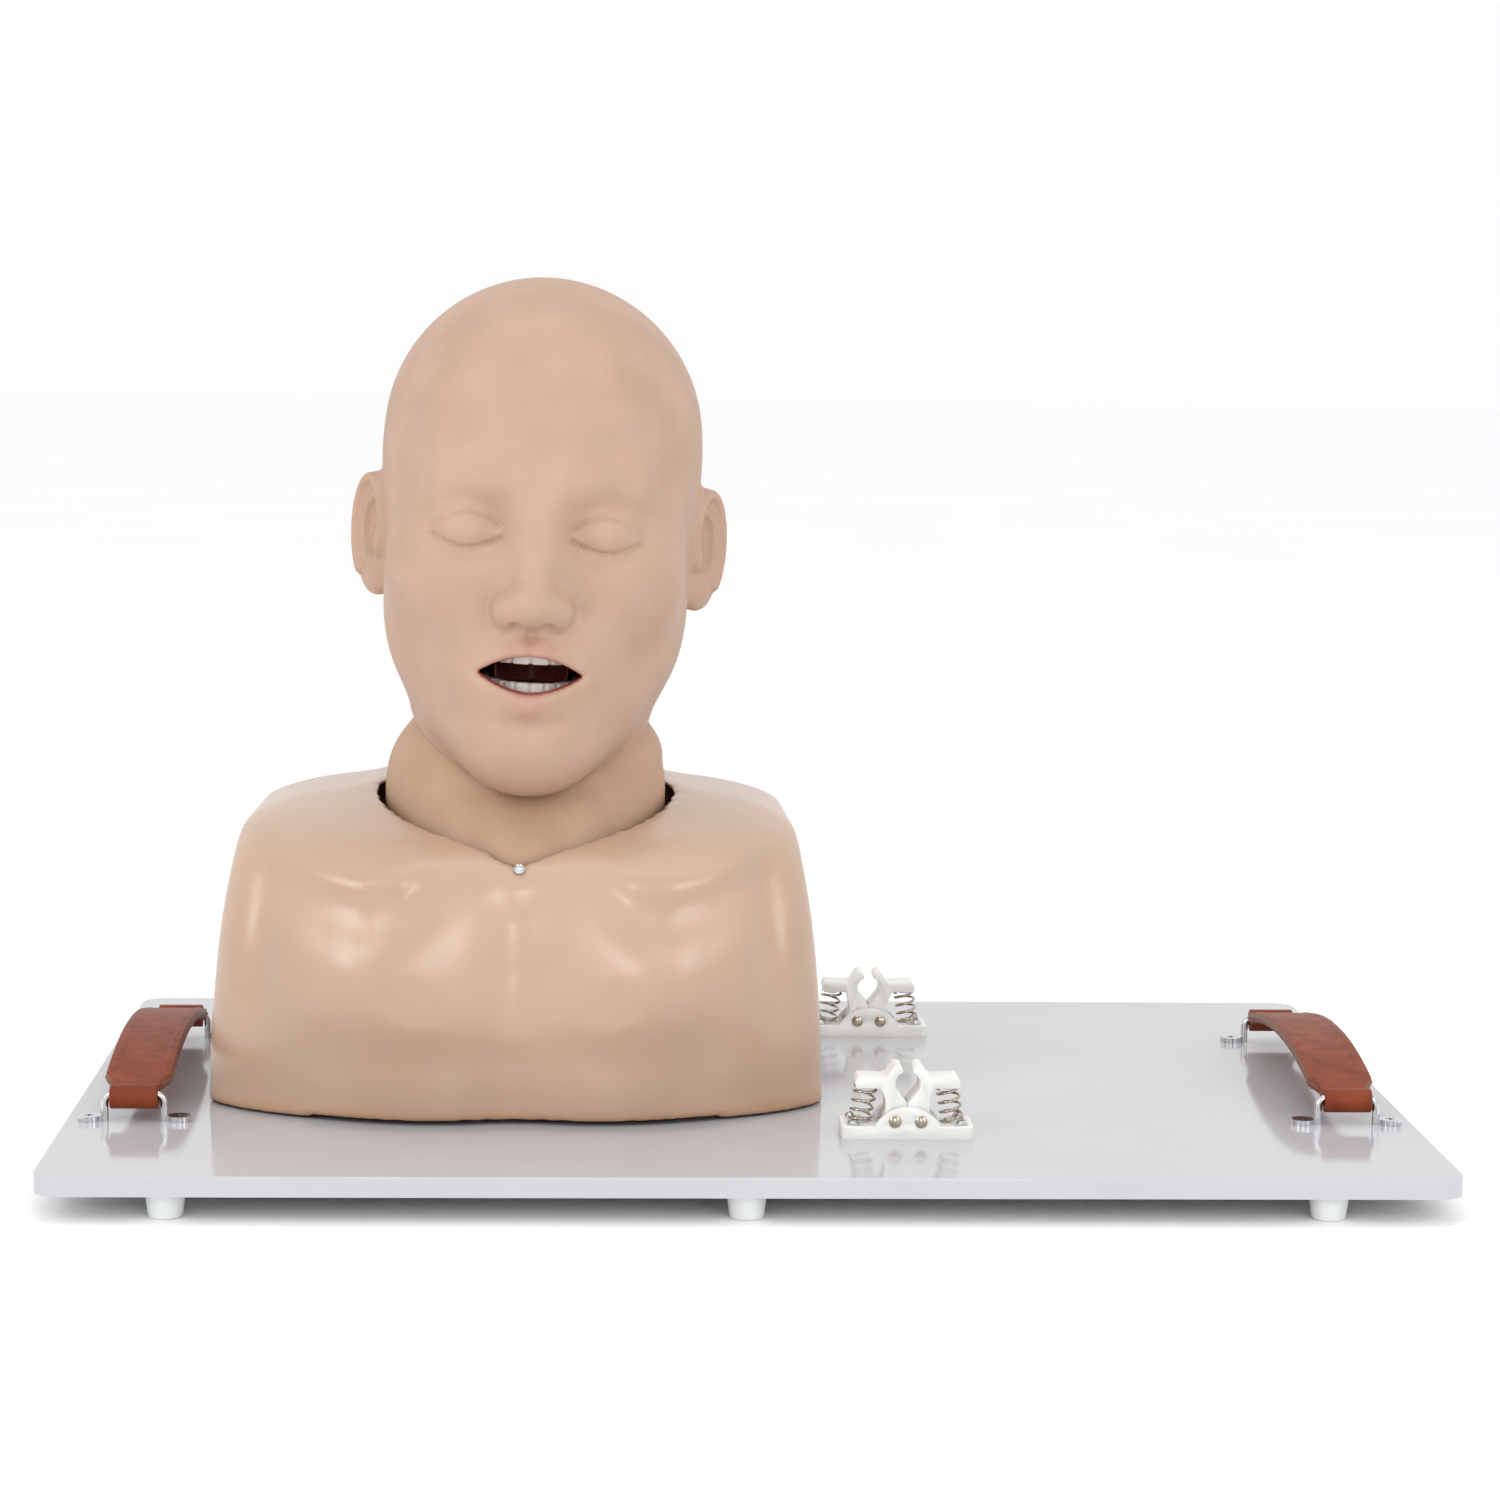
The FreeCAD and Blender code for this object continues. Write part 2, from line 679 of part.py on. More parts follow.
# Angle brackets that hold the shell's sides to the board
head_seat = 0.3
side_screws = []
bracket_bolts = []
for side, (bx, by, s) in zip(("left", "right"), bracket_screws):
    wall = chest_x + s * bracket_reach
    lo, hi = sorted((wall, wall - s * bracket_t))
    leg = block(lo, hi, by - bracket_w / 2, by + bracket_w / 2, board_top, board_top + bracket_h)
    lo, hi = sorted((wall, wall - s * bracket_foot))
    foot = block(lo, hi, by - bracket_w / 2, by + bracket_w / 2, board_top, board_top + bracket_t)
    bracket = union([leg, foot])
    through = rod_x(wall - 10, wall + 10, by, side_screw_z, 2.0 + screw_slack)
    down = post(bx, by, board_top, foot_screw_d / 2 + screw_slack, bracket_t)
    save(side + "_shell_bracket", bracket.cut([through, down]))
    bracket_bolts.append(pan_screw(bx, by, board_top + bracket_t, 7.6, 2.6, foot_screw_d, 9.0))
    outer = chest_x + s * (shell_half(by, side_screw_z) + head_seat)
    screw = pan_screw(0, 0, 0, 7.6, 2.6, 4.0, 11.0)
    side_turn = FreeCAD.Rotation(up, V(s, 0, 0))
    side_screws.append(laid(screw, V(outer, by, side_screw_z), side_turn))
save("shell_side_screws", group(side_screws))
save("bracket_screws", group(bracket_bolts))

# Neck post: a flange on the board, a tube and a fork for the tilt pin
lug_half = 9.0
fork_gap = 0.3
fork_t = 5.0
fork_r = 10.0
tilt_pin_d = 8.0
flange = rounded_slab(
    post_x - flange_w / 2,
    post_x + flange_w / 2,
    neck_y - flange_d / 2,
    neck_y + flange_d / 2,
    board_top,
    board_top + flange_h,
    8.0,
    1.0,
)
tube = post(post_x, neck_y, board_top, 9.0, tilt_z - 16.0 - board_top)
fork = []
fork_out = lug_half + fork_gap + fork_t
yoke_low = tilt_z - 22
yoke = block(
    post_x - fork_out, post_x + fork_out, neck_y - fork_r, neck_y + fork_r, yoke_low, tilt_z - 14
)
for s in (-1, 1):
    lo, hi = sorted((post_x + s * (lug_half + fork_gap), post_x + s * fork_out))
    fork.append(rod_x(lo, hi, neck_y, tilt_z, fork_r))
    fork.append(block(lo, hi, neck_y - fork_r, neck_y + fork_r, yoke_low, tilt_z))
stand = union([flange, tube, yoke] + fork)
cuts = [rod_x(post_x - 30, post_x + 30, neck_y, tilt_z, tilt_pin_d / 2)]
cuts += [post(x, y, board_top, foot_screw_d / 2 + screw_slack, flange_h) for x, y in flange_screws]
save("neck_post", stand.cut(cuts))
post_bolt_z = board_top + flange_h
bolts = [pan_screw(x, y, post_bolt_z, 7.6, 2.6, foot_screw_d, 11.0) for x, y in flange_screws]
save("neck_post_screws", group(bolts))
pin = rod_x(post_x - fork_out, post_x + fork_out, neck_y, tilt_z, tilt_pin_d / 2)
pin_heads = []
for s in (-1, 1):
    lo, hi = sorted((post_x + s * fork_out, post_x + s * (fork_out + 2.0)))
    pin_heads.append(rod_x(lo, hi, neck_y, tilt_z, 6.0))
save("neck_tilt_pin", union([pin] + pin_heads))

# Head frame: built upright at its own origin, then set in place with its slight roll
head_place = FreeCAD.Placement(head_at, FreeCAD.Rotation(V(0, 1, 0), head_roll))


def on_head(shape):
    return shape.transformed(head_place.toMatrix(), True)


def put(name, shape):
    save(name, on_head(shape))


# Neck column: lug on the tilt pin, thrust collar and spindle that the head turns on
collar_top = -79.0
collar_h = 7.0
lug = union(
    [
        rod_x(post_x - lug_half, post_x + lug_half, neck_y, tilt_z, 9.0),
        block(post_x - lug_half, post_x + lug_half, neck_y - 9, neck_y + 9, tilt_z, tilt_z + 24),
    ]
)
spindle_low = tilt_z + 15.0 - head_at.z
spindle = post(0, 0, spindle_low, spindle_r, -30.0 - spindle_low)
collar = post(0, 0, collar_top - collar_h, 15.0, collar_h)
column = union([lug, on_head(spindle), on_head(collar)])
tilt_bore = rod_x(post_x - 30, post_x + 30, neck_y, tilt_z, tilt_pin_d / 2 + bearing_slack)
save("neck_column", column.cut(tilt_bore))


# Head surface as a rounded union of simple forms, in the head frame
def smooth_min(a, b, k):
    h = max(k - abs(a - b), 0.0) / k
    return min(a, b) - h * h * k * 0.25


def egg(x, y, z, c, r):
    ax = (x - c[0]) / r[0]
    ay = (y - c[1]) / r[1]
    az = (z - c[2]) / r[2]
    k0 = math.sqrt(ax * ax + ay * ay + az * az)
    k1 = math.sqrt((ax / r[0]) ** 2 + (ay / r[1]) ** 2 + (az / r[2]) ** 2)
    return k0 * (k0 - 1.0) / k1 if k1 > 1e-9 else -min(r)


def rod(x, y, z, a, b, ra, rb):
    bx, by, bz = b[0] - a[0], b[1] - a[1], b[2] - a[2]
    px, py, pz = x - a[0], y - a[1], z - a[2]
    t = (px * bx + py * by + pz * bz) / (bx * bx + by * by + bz * bz)
    t = max(0.0, min(1.0, t))
    dx, dy, dz = px - t * bx, py - t * by, pz - t * bz
    return math.sqrt(dx * dx + dy * dy + dz * dz) - (ra + (rb - ra) * t)


def core_value(x, y, z):
    # Skull, face and jaw without features, running down into the neck
    d = egg(x, y, z, (0, 14, 44), (76, 80, 76))
    d = smooth_min(d, egg(x, y, z, (0, -26, 44), (66, 68, 72)), 20)
    d = smooth_min(d, egg(x, y, z, (0, 2, 2), (73, 76, 84)), 16)
    d = smooth_min(d, egg(x, y, z, (0, -34, -24), (63, 59, 64)), 20)
    d = smooth_min(d, egg(x, y, z, (0, -44, -74), (52, 46, 42)), 20)
    d = smooth_min(d, egg(x, y, z, (40, -12, -46), (29, 40, 38)), 18)
    return smooth_min(d, rod(x, y, z, (0, 0, -20), (0, 0, -190), rim_r, rim_r), 12)


def face_value(x, y, z):
    # The core with brow, closed eyes, nose, cheeks, lips and chin
    d = core_value(x, y, z)
    if y > -30 or z > 50:
        return d
    d = smooth_min(d, egg(x, y, z, (42, -62, -16), (22, 22, 18)), 16)
    d = smooth_min(d, egg(x, y, z, (0, -79, -56), (32, 20, 24)), 14)
    d = smooth_min(d, egg(x, y, z, (0, -82, -101), (20, 14, 16)), 12)
    d = smooth_min(d, rod(x, y, z, (7, -88, 24), (43, -75, 26), 8.5, 6.5), 10)
    d = -smooth_min(-d, egg(x, y, z, (31, -101, 5), (18, 14, 12)), 9)
    d = smooth_min(d, egg(x, y, z, (31, -76, 4), (16.5, 15, 14)), 4)
    d = smooth_min(d, egg(x, y, z, (0, -88, -12), (15, 14, 28)), 8)
    d = smooth_min(d, rod(x, y, z, (0, -91, 14), (0, -108, -27), 5.5, 8), 7)
    d = smooth_min(d, egg(x, y, z, (0, -110, -29), (9.5, 9.5, 8.5)), 5)
    d = smooth_min(d, egg(x, y, z, (12, -101, -32), (7.5, 9, 7)), 5)
    d = smooth_min(d, rod(x, y, z, (0, -99, -52), (23, -87, -57), 4.8, 2.6), 5)
    return smooth_min(d, rod(x, y, z, (0, -97, -73), (21, -87, -66), 5.5, 2.8), 5)


def radius_at(value, inset, turn, z, slope):
    s = math.sin(turn)
    c = -math.cos(turn)
    r = 135.0
    for _ in range(60):
        d = value(abs(r * s), r * c, z + slope * r * c) + inset
        if d < 0.02 or r < 3.0:
            break
        r -= max(0.05, 0.8 * d)
    return r


ray_crowding = 1.4


def head_section(value, inset, z, slope, count):
    # Points round the head at one height, from the back round the face to the back again
    half = count // 2
    turns = [math.pi * (1 - i / half) ** ray_crowding for i in range(half + 1)]
    radii = [radius_at(value, inset, turn, z, slope) for turn in turns]
    points = []
    for i in range(count):
        turn = -turns[i] if i <= half else turns[count - i]
        r = radii[i] if i <= half else radii[count - i]
        y = -r * math.cos(turn)
        points.append(V(r * math.sin(turn), y, z + slope * y))
    return points + points[:1]


def head_slope(z):
    t = max(0.0, min(1.0, (16.0 - z) / 95.0))
    return rim_slope * t * t * (3 - 2 * t)


def head_form(value, inset, heights, count):
    # One smooth surface through all the sections, closed by a flat face at each end
    surface = Part.BSplineSurface()
    surface.interpolate([head_section(value, inset, z, head_slope(z), count) for z in heights])
    first, last = surface.bounds()[:2]
    caps = [Part.Face(Part.Wire(surface.uIso(u).toShape())) for u in (first, last)]
    shell = Part.makeShell([surface.toShape()] + caps)
    shell.sewShape()
    form = Part.makeSolid(shell)
    if form.Volume < 0:
        form.reverse()
    return form


def heights_between(top, low, crown, lower):
    # Close together at the crown, then even down to the rim
    knee = 62.0
    rise = top - knee
    up = [knee + rise * math.sin(math.pi / 2 * i / crown) for i in range(crown, 0, -1)]
    down = [knee + (low - knee) * i / lower for i in range(lower + 1)]
    return up + down


outer_head = head_form(face_value, 0.0, heights_between(119.4, rim_z, 7, 26), 60)
bone_gap = 0.7
inner_heights = heights_between(118.6 - skin_t, rim_z - 1.5, 5, 16)
inner_head = head_form(core_value, skin_t, inner_heights, 32)
skull_outer = head_form(core_value, skin_t + bone_gap, inner_heights, 32)
bone_in = skin_t + bone_gap + skull_t
skull_heights = heights_between(119.0 - bone_in, rim_z - 1.5, 5, 11)
skull_inner = head_form(core_value, bone_in, skull_heights, 32)

def arch_plan(half_w, half_d, back_y, z0, z1):
    # Half ellipse open to the back, extruded upward, for gums and rows of teeth
    e = Part.Ellipse(V(0, 0, 0), max(half_w, half_d), min(half_w, half_d)).toShape()
    if half_d > half_w:
        e.rotate(V(0, 0, 0), V(0, 0, 1), 90)
    face = Part.Face(Part.Wire(e)).extrude(V(0, 0, z1 - z0))
    face.translate(V(0, back_y, z0))
    return face.common(block(-60, 60, -150, back_y, z0 - 1, z1 + 1))


arch_y = -48.0
palate_w = 29.0
palate_d = 38.6
palate_top = -34.0
body_low = -95.0
pocket_gap = 0.7
bore_top = -48.5

# Head skin: face and scalp in one, with ears, open mouth and a rim round the neck
skin = outer_head.cut(inner_head)
ears = []
ear_turn = 34.0


def ear_at(side):
    return V(side * 79.5, 10.0, -6.0)


for s in (-1, 1):
    ear = ellipsoid((0, 0, 0), (6.5, 16.5, 31.0))
    bowl = ellipsoid((s * 6.5, -1.5, 3.0), (6.0, 11.0, 22.0))
    ear = ear.cut(bowl)
    ear.Placement = FreeCAD.Placement(ear_at(s), FreeCAD.Rotation(V(0, 0, 1), -s * ear_turn))
    ears.append(ear.cut(inner_head))
skin = skin.fuse(ears)
mouth_hole = ellipsoid((0, -100, -62), (22.0, 30.0, 6.8))
rim_bore = post(0, 0, -140, neck_r + rim_slack, 140 + bore_top)
gum_pocket = arch_plan(
    palate_w + pocket_gap, palate_d + pocket_gap, arch_y, body_low - pocket_gap, palate_top + pocket_gap
)
skin = skin.cut(mouth_hole).cut(rim_bore).cut(gum_pocket)
put("head_skin", skin)

# Skull: hard inner shell with a bearing hub, a bracing plate and lugs for the jaw pins
plate_z = -48.0
plate_t = 6.0
hub_r = 17.0
hub_gap = 0.1
plate = union(
    [
        block(-34, 34, -12, 90, plate_z, plate_z + plate_t),
        block(-90, 90, 14, 90, plate_z, plate_z + plate_t),
    ]
)
lugs = [block(46, 90, -11, 7, -24, -4), block(-90, -46, -11, 7, -24, -4)]
skull = skull_outer.cut(skull_inner)
inner_bits = [skull_inner.common(bit) for bit in [plate] + lugs]
skull = skull.fuse(inner_bits)
hub = post(0, 0, collar_top + hub_gap, hub_r, plate_z + 8 - collar_top)
palate_clear = block(-36, 36, -150, -44, -60, palate_top)
mandible_clear = block(-90, 90, -150, 13, -150, -50)
spindle_bore = post(0, 0, -140, spindle_r + bearing_slack, 120)
pin_bore = rod_x(-90, 90, jaw_axis_y, jaw_axis_z, jaw_pin_d / 2)
skull = skull.cut([palate_clear, mandible_clear, rim_bore]).fuse(hub).cut([spindle_bore, pin_bore])
pin_seats = []
for s in (-1, 1):
    lo, hi = sorted((s * 57.5, s * 90))
    pin_seats.append(rod_x(lo, hi, jaw_axis_y, jaw_axis_z, jaw_pin_d / 2 + 0.5))
put("skull", skull)


def tooth_row(z_gum, z_tip, half_w, half_d, front_w):
    shapes = []
    top, low = max(z_gum, z_tip), min(z_gum, z_tip)
    down = z_tip < z_gum
    t = 0.0
    places = []
    widths = [front_w, front_w * 0.85, front_w * 0.9, 7.0, 7.2, 9.0, 9.0]
    for i, w in enumerate(widths):
        speed = math.hypot(half_w * math.cos(t), half_d * math.sin(t))
        mid = t + w / 2 / speed
        t += w / speed
        places.append((mid, w, i))
    for mid, w, i in places:
        x = half_w * math.sin(mid)
        y = arch_y - half_d * math.cos(mid)
        turn = math.degrees(math.atan2(half_d * math.sin(mid), half_w * math.cos(mid)))
        deep = 5.0 if i < 3 else 7.0
        tooth = block(-w / 2 + 0.15, w / 2 - 0.15, -deep / 2, deep / 2, low, top)
        tips = [e for e in tooth.Edges if abs((e.BoundBox.ZMin + e.BoundBox.ZMax) / 2 - z_tip) < 0.01]
        sides = [e for e in tooth.Edges if e.BoundBox.ZLength > 1]
        tooth = tooth.makeFillet(1.1, sides + tips)
        for s in (-1, 1):
            one = tooth.copy()
            one.rotate(V(0, 0, 0), V(0, 0, 1), s * turn)
            one.translate(V(s * x, y, 0))
            shapes.append(one)
    band_top = z_gum if down else z_gum + 2.2
    band_low = z_gum - 2.2 if down else z_gum
    band = arch_plan(half_w + 1.6, half_d + 1.6, arch_y, band_low, band_top)
    band = band.cut(arch_plan(half_w - 1.6, half_d - 1.6, arch_y + 0.1, band_low - 1, band_top + 1))
    return union([band] + shapes)


put("upper_teeth", tooth_row(tooth_gum_up, tooth_tip_up, 24.0, 34.0, 8.4))
palate = arch_plan(palate_w, palate_d, arch_y, tooth_gum_up, palate_top)
vault = ellipsoid((0, arch_y + 2, tooth_gum_up - 1), (18.5, 31.0, 12.0))
put("palate", palate.cut(vault))

# Lower jaw: horseshoe body, alveolar ridge, tongue floor and a ramus up to each pin
outline = [(0, -84), (14, -81), (24, -70), (33, -50), (45, -12), (45, 8), (39, 8), (39, -12)]
outline += [(27, -47), (18, -60), (9, -69), (0, -71)]
loop = [V(x, y, 0) for x, y in outline] + [V(-x, y, 0) for x, y in reversed(outline[1:-1])]
body_high = -81.0
body = Part.Face(Part.makePolygon(loop + loop[:1])).extrude(V(0, 0, body_high - body_low))
body.translate(V(0, 0, body_low))
ridge = arch_plan(27.6, 37.4, arch_y, body_low + 4, tooth_gum_low)
ridge = ridge.cut(arch_plan(20.0, 28.0, arch_y + 0.1, body_low, tooth_gum_low + 1))
floor_low = -90.0
floor_top = -86.0
tongue_gap = 0.3
jaw_swing = 3.2
sleeve_rise = 8.0
rim_tilt = math.degrees(math.atan(rim_slope))
sleeve_space = post(0, 0, -140, neck_r + 0.9, 100).cut(post(0, 0, -141, neck_r - neck_wall - 0.9, 102))
low_half = block(-150, 150, -150, 150, -200, 0)
low_half.rotate(V(0, 0, 0), V(1, 0, 0), rim_tilt)
low_half.translate(V(0, 0, rim_z + sleeve_rise + jaw_swing))
sleeve_space = sleeve_space.common(low_half)
tongue_floor = arch_plan(22.0, 30.0, arch_y, floor_low, floor_top)
jaw_parts = [body, ridge, tongue_floor]
for s in (-1, 1):
    lo, hi = sorted((s * 39.0, s * 45.0))
    jaw_parts.append(block(lo, hi, -13.0, 8.0, body_low, -30.0))
    ramus = block(lo, hi, -10.0, 6.0, -32.0, jaw_axis_z)
    jaw_parts += [ramus, rod_x(lo, hi, jaw_axis_y, jaw_axis_z, 8.0)]
tongue_y = -56.0
tongue_z = floor_top + 5.5
tongue_half = (15.5, 20.0, 12.5)
above_floor = block(-40, 40, -100, 0, floor_top, 0)
tongue_bed = ellipsoid((0, tongue_y, tongue_z), [r + tongue_gap for r in tongue_half])
jaw = union(jaw_parts).cut(tongue_bed.common(above_floor)).common(skull_outer)
jaw = jaw.cut(sleeve_space)
put("lower_jaw", jaw.cut(rod_x(-60, 60, jaw_axis_y, jaw_axis_z, jaw_pin_d / 2 + bearing_slack)))
put("lower_teeth", tooth_row(tooth_gum_low, tooth_tip_low, 23.0, 32.4, 6.4))
tongue = ellipsoid((0, tongue_y, tongue_z), tongue_half)
put("tongue", tongue.common(above_floor))
jaw_pins = []
for s in (-1, 1):
    shank = sorted((s * 38.7, s * 57.0))
    cap = sorted((s * 36.6, s * 38.7))
    pin = rod_x(shank[0], shank[1], jaw_axis_y, jaw_axis_z, jaw_pin_d / 2)
    jaw_pins.append(union([pin, rod_x(cap[0], cap[1], jaw_axis_y, jaw_axis_z, 4.6)]))
put("jaw_pins", group(jaw_pins))


# Neck skin: a tube in the head's rim that flares out below into the chest opening
flare_low = 136.0
flare_front = 174.0
flare_side = 18.0
flare_top = flare_front + flare_side
flare_inset = 1.5
opening_gap = 3.0


def flare_section(z, wall):
    # Widest at the foot, where it follows the opening, and just inside the tube at its top
    points = []
    for i in range(32):
        turn = 2 * math.pi * i / 32
        off_front = min(turn, 2 * math.pi - turn)
        top = flare_front + flare_side * math.sin(min(off_front, math.pi / 2)) ** 2
        t = max(0.0, min(1.0, (z - flare_low - 1.0) / (top - flare_low - 3.0)))
        spread = 1.0 - t * t * (3.0 - 2.0 * t)
        narrow = neck_r - flare_inset
        wide = max(narrow, blend_value(off_front, opening) - opening_gap)
        r = narrow + (wide - narrow) * spread - wall
        points.append(V(neck_x + r * math.sin(turn), neck_y - r * math.cos(turn), z))
    return closed_curve(points)


def neck_form(wall, extra):
    # Solid form of the sleeve, or of its hollow when a wall is given
    steps = 9
    heights = [flare_low - extra] + [flare_low + (flare_top - flare_low) * i / steps for i in range(1, steps + 1)]
    flare = smooth_loft([flare_section(z, wall) for z in heights])
    tube_low = 158.0 - head_at.z - extra
    tube = post(0, 0, tube_low, neck_r - wall, -40.0 - tube_low)
    return flare.fuse(on_head(tube))


sleeve = neck_form(0.0, 0.0).cut(neck_form(neck_wall, 1.0))
above_rim = block(-150, 150, -150, 150, 0, 200)
above_rim.rotate(V(0, 0, 0), V(1, 0, 0), rim_tilt)
above_rim.translate(V(0, 0, rim_z + sleeve_rise))
save("neck_skin", sleeve.cut(on_head(above_rim)))

# Airway and food pipe, lungs and stomach inside the chest
wind_y = neck_y - 37.0
gullet_y = neck_y - 18.0
pipe_top = 199.0
lungs = {}
for side, s in (("left", -1), ("right", 1)):
    lungs[side] = ellipsoid((neck_x + s * 66, 22, 84), (42, 40, 50))
    save(side + "_lung", lungs[side])


def pipe(start, end, r):
    d = end - start
    return Part.makeCylinder(r, d.Length, start, d)


fork_at = V(neck_x, wind_y, 110)
outs = [pipe(V(neck_x, wind_y, 105), V(neck_x, wind_y, pipe_top), 10.0), Part.makeSphere(10.0, fork_at)]
ins = [pipe(V(neck_x, wind_y, 108), V(neck_x, wind_y, pipe_top + 1), 8.0)]
for s in (-1, 1):
    end = V(neck_x + s * 48, 8, 96)
    outs.append(pipe(fork_at, end, 5.5))
    ins.append(pipe(fork_at, end, 4.0))
windpipe = outs[0].fuse(outs[1:]).cut(ins).cut(list(lungs.values()))
save("trachea", windpipe)
stomach = ellipsoid((neck_x - 12, -46, 58), (36, 22, 26))
save("stomach", stomach)
bend = V(neck_x, gullet_y, 96)
entry = V(neck_x - 8, -44, 66)
outs = [pipe(bend, V(neck_x, gullet_y, pipe_top - 6), 6.5), Part.makeSphere(6.5, bend), pipe(bend, entry, 6.5)]
ins = [pipe(bend, V(neck_x, gullet_y, pipe_top), 5.0), Part.makeSphere(5.0, bend), pipe(bend, entry, 5.0)]
gullet = outs[0].fuse(outs[1:]).cut(ins).cut(stomach)
save("oesophagus", gullet)
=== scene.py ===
import math
import bmesh
import bpy
import numpy as np
import openvdb
from mathutils import Matrix, Vector


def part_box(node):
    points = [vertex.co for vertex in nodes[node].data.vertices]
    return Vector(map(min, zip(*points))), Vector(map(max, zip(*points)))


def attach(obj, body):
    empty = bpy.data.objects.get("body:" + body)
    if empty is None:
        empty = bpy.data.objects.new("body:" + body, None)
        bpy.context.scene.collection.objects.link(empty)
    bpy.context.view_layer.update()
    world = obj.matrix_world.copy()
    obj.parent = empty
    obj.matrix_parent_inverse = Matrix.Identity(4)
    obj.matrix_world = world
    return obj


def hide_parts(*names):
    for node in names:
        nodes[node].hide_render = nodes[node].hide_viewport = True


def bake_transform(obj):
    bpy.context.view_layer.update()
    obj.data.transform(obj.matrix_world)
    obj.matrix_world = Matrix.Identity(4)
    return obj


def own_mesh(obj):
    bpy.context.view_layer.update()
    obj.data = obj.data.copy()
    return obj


# Airway management trainer: looks for the skins, the chest, the straps, the clips and the mouth,
# and a finish for every CAD node that shows as it is.
# Sizes are in millimetres, and MM turns them into Blender's metres.
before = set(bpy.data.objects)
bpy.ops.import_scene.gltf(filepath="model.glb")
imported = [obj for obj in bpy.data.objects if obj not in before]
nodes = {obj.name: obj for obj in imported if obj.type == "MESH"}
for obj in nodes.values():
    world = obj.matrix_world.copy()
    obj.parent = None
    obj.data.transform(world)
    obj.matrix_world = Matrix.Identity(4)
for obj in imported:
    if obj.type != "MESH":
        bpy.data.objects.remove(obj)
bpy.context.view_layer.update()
MM = 0.001


def node_box(name):
    low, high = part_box(name)
    return np.array(low) / MM, np.array(high) / MM


board_top = node_box("board")[1][2]

# Head: its own upright frame, rolled a little towards the clips
head_at = np.array([-97.5, 12.0, 286.0])
head_roll = math.radians(2.4)
skin_t = 4.5
rim_r = 57.0
rim_bore = 55.0
rim_slope = 0.45
rim_z = -85.0
bore_top = -48.5

# Neck sleeve: its radius, and the height of its flare at the foot, in front, and how much more at the sides
neck_narrow = 53.0
flare_low = 137.0
flare_front = 174.0
flare_side = 18.0

# Chest opening, as a radius against the angle from the front, and the sleeve's room in it
opening_turn = (0, 0.25, 0.57, 0.9, 1.34, 1.95, 2.5, math.pi)
opening_reach = (100, 92, 83, 76.8, 70.8, 68, 61.6, 56.5)
rim_room = 2.0

# Spring coils
spring_r = 4.85
spring_wire = 1.3
spring_turns = 4.6
spring_foot_x = 21.0
spring_top_x = 18.5


def linear(hex_colour):
    """sRGB hex to the linear colour that shaders use."""
    values = [int(hex_colour[i : i + 2], 16) / 255 for i in (1, 3, 5)]
    return [v / 12.92 if v <= 0.04045 else ((v + 0.055) / 1.055) ** 2.4 for v in values] + [1.0]


def add(tree, kind, inputs=None, **settings):
    """Adds a node, sets its fields, and gives each named input a value or a link."""
    node = tree.nodes.new(kind)
    for name, value in settings.items():
        setattr(node, name, value)
    for name, value in (inputs or {}).items():
        if isinstance(value, bpy.types.NodeSocket):
            tree.links.new(value, node.inputs[name])
        else:
            node.inputs[name].default_value = value
    return node


def per_metre(size_mm):
    """Texture scale that makes one feature about size_mm across."""
    return 1000.0 / size_mm


def blank_material(name, colour, roughness, **shader_values):
    """A material with only its shader, whose uniform values sit on its own sockets."""
    material = bpy.data.materials.new(name)
    material.use_nodes = True
    tree = material.node_tree
    tree.nodes.clear()
    values = {"Base Color": linear(colour), "Roughness": roughness}
    values.update(shader_values)
    shader = add(tree, "ShaderNodeBsdfPrincipled", values)
    add(tree, "ShaderNodeOutputMaterial", {"Surface": shader.outputs["BSDF"]})
    where = add(tree, "ShaderNodeTexCoord")
    return material, tree, shader, where.outputs["Object"]


def mottle(tree, place, size_mm, colours, detail=3.0):
    """Soft patches of two colours, each about size_mm across."""
    noise = add(tree, "ShaderNodeTexNoise", {"Vector": place, "Scale": per_metre(size_mm), "Detail": detail})
    ramp = add(tree, "ShaderNodeValToRGB", {"Fac": noise.outputs["Fac"]})
    ramp.color_ramp.elements[0].position = 0.3
    ramp.color_ramp.elements[1].position = 0.7
    ramp.color_ramp.elements[0].color = linear(colours[0])
    ramp.color_ramp.elements[1].color = linear(colours[1])
    return ramp.outputs["Color"]


def grain(tree, shader, height, depth_mm, strength=1.0, under=None):
    """Bumps of a given depth on the shader, over an earlier set of bumps if there is one."""
    values = {"Height": height, "Distance": depth_mm * MM, "Strength": strength}
    if under is not None:
        values["Normal"] = under
    bump = add(tree, "ShaderNodeBump", values)
    tree.links.new(bump.outputs["Normal"], shader.inputs["Normal"])
    return bump.outputs["Normal"]


def board_sheet():
    # Cast acrylic-faced sheet: hard gloss with the faintest ripple in its reflections
    material, tree, shader, place = blank_material("gloss_white_sheet", "#BBBBC0", 0.1, IOR=1.49)
    tree.links.new(mottle(tree, place, 90, ("#B9B9BE", "#BEBEC2")), shader.inputs["Base Color"])
    ripple = add(tree, "ShaderNodeTexNoise", {"Vector": place, "Scale": per_metre(14), "Detail": 1.0})
    grain(tree, shader, ripple.outputs["Fac"], 0.03, 0.35)
    return material


